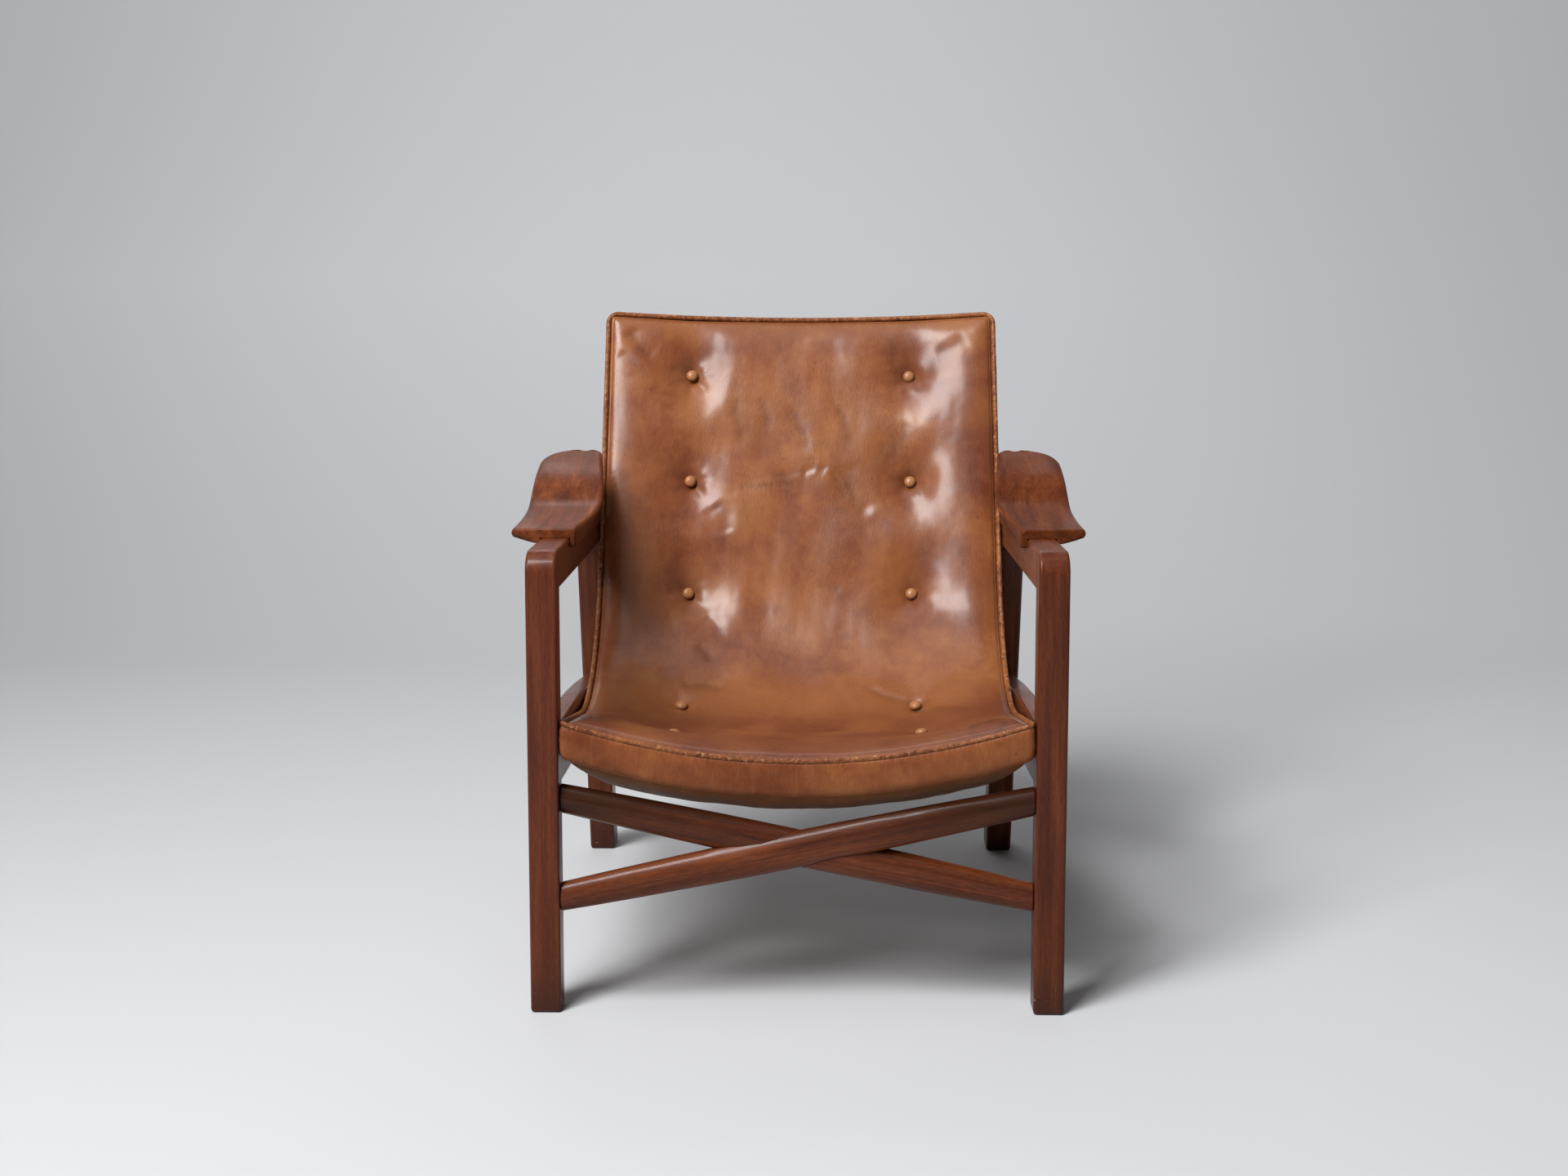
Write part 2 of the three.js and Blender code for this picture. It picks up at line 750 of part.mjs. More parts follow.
function rearSeatTenon(grow) {
  const last = rearSeatTenonAt + tenonLength + grow;
  return seatTenon(rearSeatTenonAt - rearSeatTenonRoot, last, rearSeatTenonHeight, grow);
}

function stretcherTenon(side, height, depthAt, grow) {
  const length = tenonLength + jointOverlap + grow;
  const middle = side * (frameInner - jointOverlap + length / 2);
  const centre = new THREE.Vector3(middle, depthAt, height);
  return rod(roundTenon + 2 * grow, length, centre, new THREE.Vector3(1, 0, 0));
}

const frontBarAt = lapAt - stretcherStagger;
const backBarAt = lapAt + stretcherStagger;

function outlinePrism(growth) {
  return sidePrism([
    [-overrun, -overrun],
    [frontLegDepth + growth, -overrun],
    [frontLegDepth + growth, armRailTop + overrun],
    [-overrun, armRailTop + overrun],
  ]);
}

function rearLegPrism(growth, top) {
  return sidePrism([
    [rearLegFrontAt(-overrun) - growth, -overrun],
    [rearLegFrontAt(-overrun) + overrun + frameWidth, -overrun],
    [rearLegFrontAt(-overrun) + overrun + frameWidth, top],
    [rearLegFrontAt(top) - growth, top],
  ]);
}

// Everything below the arm rail's underside, behind the front leg
function underRailPrism(growth) {
  const first = frontLegDepth + overrun;
  const last = railEnd + overrun + rearFootDepth;
  return sidePrism([
    [first, -overrun],
    [last + rearFootDepth, -overrun],
    [last + rearFootDepth, armRailUnderAt(last + rearFootDepth) + growth],
    [first, armRailUnderAt(first) + growth],
  ]);
}

function stileCentre(s) {
  return shellPoint(shellHalf - leather - softFit - stileWidth / 2, s, (stileFront + stileRear) / 2);
}

// Where the shell's screws sit: two in each seat rail and one in each arm rail, on the stile's middle
const seatScrewSeats = seatScrewPlaces.map((s) => {
  const at = stileCentre(s);
  const outside = frameInner + seatRailInset + seatRailThickness;
  return new THREE.Vector3(outside - shellScrewHeadHeight, at.y, at.z);
});
const armScrewSeat = (() => {
  const railMiddle = armRailTop - armRailSlopeShare * bendEndAt - armRailHeight / 2;
  const climb = Math.sin(recline) + armRailSlopeShare * Math.cos(recline);
  const pastBend = (railMiddle + backScrewRise - bendEndHeight) / climb;
  const at = stileCentre(seatRun + bendLength + pastBend);
  return new THREE.Vector3(frameOuter - shellScrewHeadHeight, at.y, at.z);
})();
const inward = new THREE.Vector3(-1, 0, 0);
const upward = new THREE.Vector3(0, 0, 1);

function shellScrew(seat) {
  const length = seat.x - shellHalf + shellScrewReach;
  return screwSolid(shellScrewShank, shellScrewHead, shellScrewHeadHeight, length, seat, inward);
}

function shellScrewHole(seat) {
  const shank = rod(shellScrewShank + 2 * screwFit, overrun * 2, seat, inward);
  const sink = new THREE.Vector3(seat.x + overrun / 2 - screwFit, seat.y, seat.z);
  return shank.add(rod(shellScrewHead + 2 * screwFit, overrun, sink, inward));
}

function stileHole(seat) {
  const length = overrun;
  const end = shellHalf - shellScrewReach - screwFit;
  const middle = new THREE.Vector3(end + length / 2, seat.y, seat.z);
  return rod(shellScrewShank + 2 * screwFit, length, middle, inward);
}

function armScrewSeatAt(y) {
  return new THREE.Vector3(frameMiddle, y, armRailUnderAt(y) + armScrewSink);
}

function armScrewLengthAt(y) {
  return armRailTopAt(y) - armRailUnderAt(y) - armScrewSink + jointFit + armScrewReach;
}

function armScrew(y) {
  const length = armScrewLengthAt(y);
  return screwSolid(armScrewShank, armScrewHead, armScrewHeadHeight, length, armScrewSeatAt(y), upward);
}

function armScrewHole(y) {
  const seat = armScrewSeatAt(y);
  const length = armScrewLengthAt(y) + screwFit;
  const shankAt = new THREE.Vector3(seat.x, seat.y, seat.z + length / 2 - jointOverlap / 2);
  const shank = rod(armScrewShank + 2 * screwFit, length + jointOverlap, shankAt, upward);
  const sinkAt = new THREE.Vector3(seat.x, seat.y, seat.z + screwFit - (armScrewSink + overrun) / 2);
  return shank.add(rod(armScrewHead + 2 * screwFit, armScrewSink + overrun, sinkAt, upward));
}

const sideFrame = sideBoard(sideFrameOutline(), frameThickness, frameMiddle, arris);
const underRail = underRailPrism(0);
const armRail = sideFrame
  .subtract(outlinePrism(jointFit))
  .subtract(underRail)
  .add(armTenon(0))
  .subtract(rearTenon(jointFit));
const armRailDrilled = armScrewPlaces.reduce(
  (rail, y) => rail.subtract(armScrewHole(y)),
  armRail.subtract(shellScrewHole(armScrewSeat)),
);
const rearLeg = sideFrame
  .subtract(outlinePrism(overrun))
  .intersect(underRailPrism(-jointFit))
  .add(rearTenon(0))
  .subtract(rearSeatTenon(jointFit));
const frontLeg = sideFrame
  .intersect(outlinePrism(0))
  .subtract(armTenon(jointFit))
  .subtract(frontSeatTenon(jointFit));
const seatRail = seatScrewSeats.reduce(
  (rail, seat) => rail.subtract(shellScrewHole(seat)),
  sideBoard(seatRailOutline(), seatRailThickness, seatRailMiddle, arris)
    .subtract(outlinePrism(jointFit))
    .subtract(rearLegPrism(jointFit, armRailTop))
    .add(frontSeatTenon(0))
    .add(rearSeatTenon(0)),
);
const armrestSolid = armScrewPlaces.reduce(
  (body, y) => body.subtract(armScrewHole(y)),
  armrestBody(),
);

[["right", 1], ["left", -1]].forEach(([side, sign]) => {
  const place = (solid) => (sign > 0 ? solid : mirrored(solid));
  const frontBarEnd = sign > 0 ? stretcherHighAt : stretcherLowAt;
  const backBarEnd = sign > 0 ? stretcherLowAt : stretcherHighAt;
  const drilledLeg = place(frontLeg)
    .subtract(stretcherTenon(sign, frontBarEnd, frontBarAt, jointFit))
    .subtract(stretcherTenon(sign, backBarEnd, backBarAt, jointFit));
  addPiece(`front_leg_${side}`, drilledLeg, wood);
  addPiece(`arm_rail_${side}`, place(armRailDrilled), wood);
  addPiece(`rear_leg_${side}`, place(rearLeg), wood);
  addPiece(`seat_rail_${side}`, place(seatRail), wood);
  addPiece(`armrest_${side}`, place(armrestSolid), wood);
  seatScrewSeats.forEach((seat, i) => {
    addPiece(`seat_screw_${side}_${i + 1}`, place(shellScrew(seat)), brass);
  });
  addPiece(`back_screw_${side}`, place(shellScrew(armScrewSeat)), brass);
  armScrewPlaces.forEach((y, i) => {
    addPiece(`armrest_screw_${side}_${i + 1}`, place(armScrew(y)), brass);
  });
});

// Each bar keeps half its depth where it passes the other, and the notch clears the other bar
const frontBar = stretcherBar(1, frontBarAt, 0);
const backBar = stretcherBar(-1, backBarAt, 0);
const behindLap = block(-frameWidth, frameWidth, lapAt, lapAt + overrun, 0, frameWidth);
const beforeLap = block(-frameWidth, frameWidth, lapAt - overrun, lapAt + jointFit, 0, frameWidth);
addPiece(
  "stretcher_front",
  frontBar
    .subtract(stretcherBar(-1, backBarAt, jointFit).intersect(behindLap))
    .add(stretcherTenon(1, stretcherHighAt, frontBarAt, 0))
    .add(stretcherTenon(-1, stretcherLowAt, frontBarAt, 0)),
  wood,
);
addPiece(
  "stretcher_back",
  backBar
    .subtract(stretcherBar(1, frontBarAt, jointFit).intersect(beforeLap))
    .add(stretcherTenon(1, stretcherLowAt, backBarAt, 0))
    .add(stretcherTenon(-1, stretcherHighAt, backBarAt, 0)),
  wood,
);

// The shell: padding under leather in front, a piped seam, a leather border and a rear cover, round
// a frame of two bent stiles, two curved rails and a bent panel
addPiece("front_cover", slab(
  shellFace(pipingDiameter + softFit, crownAt),
  [rimAt(pipingDiameter + softFit, -underPiping), rimAt(insideBorder, -underPiping)],
  shellFace(insideBorder, () => -padDepth),
), hide);
const screwSeats = [...seatScrewSeats, armScrewSeat];
const borderRing = toSolid(outlineRing([
  rimAt(0, -underPiping),
  rimAt(0, borderEase - shellThickness),
  rimAt(borderEase * (1 - Math.SQRT1_2), borderEase * (1 - Math.SQRT1_2) - shellThickness),
  rimAt(borderEase, -shellThickness),
  rimAt(borderHem, -shellThickness),
  rimAt(borderHem, leather - shellThickness),
  rimAt(leather, leather - shellThickness),
  rimAt(leather, -underPiping),
]));
addPiece("border", screwSeats.reduce(
  (ring, seat) => ring.subtract(stileHole(seat)).subtract(mirrored(stileHole(seat))),
  borderRing,
), hide);
addPiece("piping", pipingBody(), hideTrim);

// The rear cover hangs slack under the seat and lies flatter up the back
function rearBulgeAt(x, s) {
  const fromEdge = Math.min(shellHalf - Math.abs(x), s, shellLength - s) - borderHem;
  const share = THREE.MathUtils.smoothstep(s, 0, seatRun + bendLength);
  const bulge = seatBulge + (backBulge - seatBulge) * share;
  return -shellThickness - bulge * (1 - Math.exp(-Math.max(fromEdge, 0) / crownEdge));
}

// The rear cover has no tufts, so it does without the columns beside the buttons
function plainFace(inset, heightAt) {
  const besideButton = (x) => Math.abs(Math.abs(Math.abs(x) - buttonSpread / 2) - buttonFlat) < leather;
  return rowsFor(inset).map((s) => columnsFor(s, inset)
    .filter((x) => !besideButton(x))
    .map((x) => shellPoint(x, s, heightAt(x, s))));
}

addPiece("rear_cover", slab(
  plainFace(borderHem + softFit, (x, s) => rearBulgeAt(x, s) + leather),
  [],
  plainFace(borderHem + softFit, rearBulgeAt),
), hide);

// The frame inside the leather
const panelEdge = stileInner - jointFit;
const panelInside = columnsFor(shellLength / 2, 0).filter((x) => Math.abs(x) < panelEdge);
const panelColumns = [-panelEdge, ...panelInside, panelEdge];
const railInnerEdge = insideBorder + stileWidth;
const railRows = [insideBorder, insideBorder + stileWidth / 2, railInnerEdge];
const stileEdges = (s) => [stileInner, edgeAt(s, insideBorder)];
const stile = screwSeats.reduce(
  (body, seat) => body.subtract(stileHole(seat)),
  toSolid(innerMember(stileEdges, rowsFor(insideBorder), stileFront, stileRear)),
);
addPiece("stile_right", stile, innerWood);
addPiece("stile_left", mirrored(stile), innerWood);
addPiece("front_crossrail", innerMember(
  () => panelColumns,
  railRows,
  stileFront,
  stileRear,
), innerWood);
addPiece("top_crossrail", innerMember(
  () => panelColumns,
  railRows.map((s) => shellLength - s).toReversed(),
  stileFront,
  stileRear,
), innerWood);
const panelFirst = railInnerEdge + jointFit;
const panelLast = shellLength - panelFirst;
const panelRows = rowsFor(insideBorder)
  .filter((s) => s > panelFirst + leather && s < panelLast - leather);
addPiece("support_panel", innerMember(
  () => panelColumns,
  [panelFirst, ...panelRows, panelLast],
  stileFront,
  stileFront - panelThickness,
), innerWood);

// Five rows of two buttons, from the front of the seat to the top of the back
buttonRows.forEach((row, i) => {
  [["left", -1], ["right", 1]].forEach(([side, sign]) => {
    addPiece(`button_${side}_${i + 1}`, buttonBody(sign * buttonSpread / 2, row), hideTrim);
  });
});

export default chair;
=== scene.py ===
# A low easy chair: mahogany side frames and a dished shell of tufted leather between them.
# Metres, +Z up, front towards -Y.
import math

import bmesh
import bpy
import numpy as np
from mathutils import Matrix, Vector


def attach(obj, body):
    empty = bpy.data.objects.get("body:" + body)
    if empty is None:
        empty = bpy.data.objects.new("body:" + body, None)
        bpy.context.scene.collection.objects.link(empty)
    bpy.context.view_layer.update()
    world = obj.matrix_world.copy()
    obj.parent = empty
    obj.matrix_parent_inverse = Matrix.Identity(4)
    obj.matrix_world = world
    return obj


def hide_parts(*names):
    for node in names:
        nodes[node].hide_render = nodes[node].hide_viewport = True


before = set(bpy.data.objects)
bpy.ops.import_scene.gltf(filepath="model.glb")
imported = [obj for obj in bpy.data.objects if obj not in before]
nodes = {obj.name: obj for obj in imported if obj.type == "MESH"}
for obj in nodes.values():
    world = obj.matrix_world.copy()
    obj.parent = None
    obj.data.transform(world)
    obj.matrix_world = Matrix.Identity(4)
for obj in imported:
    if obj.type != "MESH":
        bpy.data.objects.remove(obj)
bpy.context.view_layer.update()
scene = bpy.context.scene

# Camera, stage and light

TURN = 2 * math.pi
CAMERA_AT = (0.0178, -2.5935, 0.9050)
CAMERA_PITCH = 6.37
CAMERA_YAW = 0.836
CAMERA_LENS = 45.56
CAMERA_SHIFT = -0.08
SENSOR_WIDTH = 36


def add_object(name, data):
    obj = bpy.data.objects.new(name, data)
    scene.collection.objects.link(obj)
    return obj


def make_camera():
    data = bpy.data.cameras.new("camera")
    data.lens = CAMERA_LENS
    data.sensor_width = SENSOR_WIDTH
    data.shift_y = CAMERA_SHIFT
    camera = add_object("camera", data)
    camera.location = CAMERA_AT
    camera.rotation_euler = (math.radians(90 - CAMERA_PITCH), 0, math.radians(CAMERA_YAW))
    scene.camera = camera


def new_object(name, verts, faces):
    mesh = bpy.data.meshes.new(name)
    mesh.from_pydata([tuple(v) for v in verts], [], [tuple(f) for f in faces])
    mesh.validate()
    mesh.polygons.foreach_set("use_smooth", [True] * len(mesh.polygons))
    return add_object(name, mesh)


def area_light(name, at, target, size, power):
    data = bpy.data.lights.new(name, "AREA")
    data.shape = "RECTANGLE"
    data.size, data.size_y = size
    data.energy = power
    light = add_object(name, data)
    light.location = at
    away = Vector(at) - Vector(target)
    light.rotation_euler = away.to_track_quat("Z", "Y").to_euler()


def srgb(*values):
    """A colour written in sRGB, 0 to 255, as linear with an alpha of 1."""
    shares = (v / 255 for v in values)
    return (*(c / 12.92 if c <= 0.04045 else ((c + 0.055) / 1.055) ** 2.4 for c in shares), 1)


def put(tree, socket, value):
    """Links a socket to another, or sets its number or colour."""
    if isinstance(value, bpy.types.NodeSocket):
        tree.links.new(value, socket)
    elif value is not None:
        socket.default_value = value


def add_node(tree, kind, inputs=None, **settings):
    """A new node of a kind, with its settings made and its inputs put."""
    node = tree.nodes.new(f"ShaderNode{kind}")
    for name, value in settings.items():
        setattr(node, name, value)
    for name, value in (inputs or {}).items():
        put(tree, node.inputs[name], value)
    return node


def empty_tree(owner):
    owner.use_nodes = True
    owner.node_tree.nodes.clear()
    return owner.node_tree


# Painted light and shade on the paper: each pair runs from the left side's colour to the right's
FLOOR_PAINTED_SHADING = srgb(178, 179, 181), srgb(222, 223, 225)
WALL_PAINTED_SHADING = srgb(201, 202, 205), srgb(223, 224, 227)
BACKDROP_SIDE = 2.5
BACKDROP_FADE = 0.8
ROOM_SEEN = srgb(172, 173, 176)
ROOM_FROM = 3.0
ROOM_TO = 6.5


def background_share(tree):
    """1 for the rays that show the background: the camera's, reflected and refracted ones."""
    path = add_node(tree, "LightPath")
    total = path.outputs["Is Camera Ray"]
    for ray in ("Is Glossy Ray", "Is Transmission Ray"):
        inputs = {0: total, 1: path.outputs[ray]}
        total = add_node(tree, "Math", inputs, operation="MAXIMUM").outputs[0]
    return total


def backdrop_material():
    """Pale grey paper with painted light and shade: darker to the left, lighter to the right and up
    the wall. It fades far away into the room.
    """
    material = bpy.data.materials.new("backdrop")
    tree = empty_tree(material)
    at = add_node(tree, "TexCoord").outputs["Object"]
    split = add_node(tree, "SeparateXYZ", {0: at})

    def share(axis, low, high):
        reach = {"Value": split.outputs[axis], "From Min": low, "From Max": high}
        return add_node(tree, "MapRange", reach).outputs[0]

    def blend(factor, a, b):
        return add_node(tree, "Mix", {0: factor, 6: a, 7: b}, data_type="RGBA").outputs[2]

    # Painted light and shade: the paper's colour changes across it and up the wall
    across = share("X", -BACKDROP_SIDE, BACKDROP_SIDE)
    floor = blend(across, *FLOOR_PAINTED_SHADING)
    wall = blend(across, *WALL_PAINTED_SHADING)
    colour = blend(share("Z", 0, BACKDROP_FADE), floor, wall)
    paper = add_node(tree, "BsdfDiffuse", {"Color": colour})
    away = add_node(tree, "VectorMath", {0: at}, operation="LENGTH").outputs["Value"]
    reach = {"Value": away, "From Min": ROOM_FROM, "From Max": ROOM_TO}
    far = add_node(tree, "MapRange", reach, interpolation_type="SMOOTHSTEP").outputs[0]
    seen = add_node(tree, "Math", {0: background_share(tree), 1: far}, operation="MULTIPLY")
    room = add_node(tree, "Emission", {"Color": ROOM_SEEN})
    inputs = {0: seen.outputs[0], 1: paper.outputs[0], 2: room.outputs[0]}
    add_node(tree, "OutputMaterial", {0: add_node(tree, "MixShader", inputs).outputs[0]})
    return material


FLOOR_HALF = 9
WALL_AT = 3.2
WALL_BEND = 1.6
WALL_TOP = 6
WALL_STEPS = 24


def make_stage():
    profile = [(-FLOOR_HALF, 0), (WALL_AT - WALL_BEND, 0)]
    for step in range(1, WALL_STEPS + 1):
        turn = math.radians(90) * step / WALL_STEPS
        y = WALL_AT - WALL_BEND + WALL_BEND * math.sin(turn)
        profile.append((y, WALL_BEND * (1 - math.cos(turn))))
    profile.append((WALL_AT, WALL_TOP))
    verts = [(side * FLOOR_HALF, y, z) for y, z in profile for side in (-1, 1)]
    faces = [(2 * i, 2 * i + 1, 2 * i + 3, 2 * i + 2) for i in range(len(profile) - 1)]
    floor = new_object("floor", verts, faces)
    floor.data.materials.append(backdrop_material())


ROOM_COLOUR = (0.93, 0.96, 1, 1)
ROOM_LIGHT = 0.02
# The name of each lamp, where it is, what it points at, its size and its power
LAMPS = (
    ("key", (-1.5, -2.15, 3.95), (0, 0, 0.4), (1.6, 1.6), 188),
    ("gloss", (-2.0, -2.55, 2.6), (0, 0, 0.4), (0.8, 1.0), 66),
    ("over", (-0.5, -0.3, 4.3), (0, 0.2, 0), (2.8, 2.2), 22),
    ("back", (-0.5, 2.7, 2.9), (0, 0.1, 0.5), (2.4, 0.8), 15),
)


def make_light():
    world = bpy.data.worlds.new("studio")
    tree = empty_tree(world)
    lights = add_node(tree, "Background", {"Color": ROOM_COLOUR, "Strength": ROOM_LIGHT})
    seen = add_node(tree, "Background", {"Color": ROOM_SEEN, "Strength": 1})
    inputs = {0: background_share(tree), 1: lights.outputs[0], 2: seen.outputs[0]}
    add_node(tree, "OutputWorld", {0: add_node(tree, "MixShader", inputs).outputs[0]})
    scene.world = world
    for lamp in LAMPS:
        area_light(*lamp)


# The form of the shell

DEPTH = 0.687
HALF = 0.2765
LENGTH = 0.879
FRONT_AT = 0.001
FRONT_HEIGHT = 0.349
SEAT_RUN = 0.190
UPRIGHT_RUN = 0.130
BEND_RADIUS = 0.225
FALL = math.radians(10)
RECLINE = math.radians(67)
BEND_LENGTH = BEND_RADIUS * (RECLINE + FALL)
FRONT_DISH = 0.045
TOP_DISH = 0.027
THICKNESS = 0.042
FRONT_CORNER = 0.009
TOP_CORNER = 0.018
PIPING_RADIUS = 0.0032
LEATHER = 0.0025
SEAT_CROWN = 0.022
BACK_CROWN = 0.010
BUTTON_SPREAD = 0.308
BUTTON_ROWS = (0.155, 0.292, 0.473, 0.632, 0.788)
BUTTON_RADIUS = 0.008


def shell_point(x, s, n):
    """The point that is x across, s along and n in front of the shell's face."""
    x, s, n = np.broadcast_arrays(*(np.asarray(v, float) for v in (x, s, n)))
    seat = np.minimum(s, SEAT_RUN)
    bend = np.clip(s - SEAT_RUN, 0, BEND_LENGTH) / BEND_RADIUS - FALL
    back = np.maximum(s - SEAT_RUN - BEND_LENGTH, 0)
    y = FRONT_AT + seat * math.cos(FALL) + BEND_RADIUS * (np.sin(bend) + math.sin(FALL))
    y = y + back * math.cos(RECLINE) - DEPTH / 2
    z = FRONT_HEIGHT - seat * math.sin(FALL) + BEND_RADIUS * (math.cos(FALL) - np.cos(bend))
    z = z + back * math.sin(RECLINE)
    turned = bend * np.clip(s / UPRIGHT_RUN, 0, 1)
    deepest = FRONT_DISH + (TOP_DISH - FRONT_DISH) * s / LENGTH
    out = n - deepest * (1 - (x / HALF) ** 2)
    return np.stack([x, y - np.sin(turned) * out, z + np.cos(turned) * out], axis=-1)


def smoothstep(value, low, high):
    t = np.clip((value - low) / (high - low), 0, 1)
    return t * t * (3 - 2 * t)


def bell(value, width):
    return np.exp(-((value / width) ** 2))


def rise(inside, reach):
    """From 0 at an edge towards 1 well inside it."""
    return 1 - np.exp(-inside / reach)


def corner_inset(from_end, radius):
    inside = np.clip(from_end, 0, radius)
    return radius - np.sqrt(radius ** 2 - (radius - inside) ** 2)


def edge_at(s, inset):
    """Half the width of the outline at s, drawn in by an inset."""
    front, top = max(FRONT_CORNER - inset, LEATHER / 2), max(TOP_CORNER - inset, LEATHER / 2)
    radius = np.where(s < LENGTH / 2, front, top)
    from_end = np.minimum(s, LENGTH - s) - inset
    return HALF - inset - corner_inset(from_end, radius)


def from_edge(x, s):
    """How far a point of the shell lies inside its nearest edge."""
    return np.minimum(HALF - np.abs(x), np.minimum(s, LENGTH - s))


CORNER_EASE = 2.2
CORNER_STEPS = 14


def eased_from_edge(x, s):
    """As from_edge, but without the mitre line that runs in from each corner."""
    inset = 2 * PIPING_RADIUS
    aside = np.maximum(HALF - np.abs(x) - inset, 1e-6)
    end = np.maximum(np.minimum(s, LENGTH - s) - inset, 1e-6)
    return (aside ** -CORNER_EASE + end ** -CORNER_EASE) ** (-1 / CORNER_EASE)


def outline(inset, pitch):
    """The outline drawn in by an inset, with the same count of points at every inset."""
    points = []
    front, top = max(FRONT_CORNER - inset, 0.0012), max(TOP_CORNER - inset, 0.0012)
    corners = [
        (HALF - inset - front, inset + front, front, -90),
        (HALF - inset - top, LENGTH - inset - top, top, 0),
        (-(HALF - inset - top), LENGTH - inset - top, top, 90),
        (-(HALF - inset - front), inset + front, front, 180),
    ]
    for i, (cx, cs, radius, start) in enumerate(corners):
        for k in range(CORNER_STEPS + 1):
            angle = math.radians(start + 90 * k / CORNER_STEPS)
            points.append((cx + radius * math.cos(angle), cs + radius * math.sin(angle)))
        nx, ns, nr, nstart = corners[(i + 1) % 4]
        begin = np.array(points[-1])
        angle = math.radians(nstart)
        end = np.array((nx + nr * math.cos(angle), ns + nr * math.sin(angle)))
        side = LENGTH if i % 2 == 0 else 2 * HALF
        count = int(side / pitch)
        for k in range(1, count):
            points.append(tuple(begin + (end - begin) * k / count))
    return np.array(points)


class Waves:
    """Smooth noise over two directions, about -1 to 1: a sum of seeded plane waves."""

    def __init__(self, seed, length_x, length_s, count=28):
        rng = np.random.default_rng(seed)
        angle = rng.uniform(0, TURN, count)
        scale = rng.uniform(0.6, 1.7, count)
        self.kx = TURN * np.cos(angle) * scale / length_x
        self.ks = TURN * np.sin(angle) * scale / length_s
        self.phase = rng.uniform(0, TURN, count)
        self.gain = math.sqrt(2 / count)

    def __call__(self, x, s):
        total = np.zeros(np.broadcast(x, s).shape)
        for kx, ks, phase in zip(self.kx, self.ks, self.phase):
            total += np.cos(kx * x + ks * s + phase)
        return total * self.gain * 0.5


def stroke(x, s, points, width, depth, skew=0.0):
    """A fold along a line of points: a groove of a width and depth that fades at its ends."""
    points = np.array(points, float)
    best = np.full(np.shape(x), 1e9)
    side = np.zeros(np.shape(x))
    along = np.zeros(np.shape(x))
    lengths = np.hypot(*np.diff(points, axis=0).T)
    total = lengths.sum()
    run = 0.0
    for a, b, length in zip(points[:-1], points[1:], lengths):
        d = (b - a) / length
        t = np.clip((x - a[0]) * d[0] + (s - a[1]) * d[1], 0, length)
        dx, ds = x - a[0] - d[0] * t, s - a[1] - d[1] * t
        away = np.hypot(dx, ds)
        nearer = away < best
        best = np.where(nearer, away, best)
        side = np.where(nearer, np.sign(dx * d[1] - ds * d[0]), side)
        along = np.where(nearer, (run + t) / total, along)
        run += length
    fade = smoothstep(along, 0, 0.2) * (1 - smoothstep(along, 0.8, 1))
    groove = -bell(best, width)
    swell = skew * side * (best / width) * bell(best, 1.8 * width)
    return depth * fade * (groove + swell)


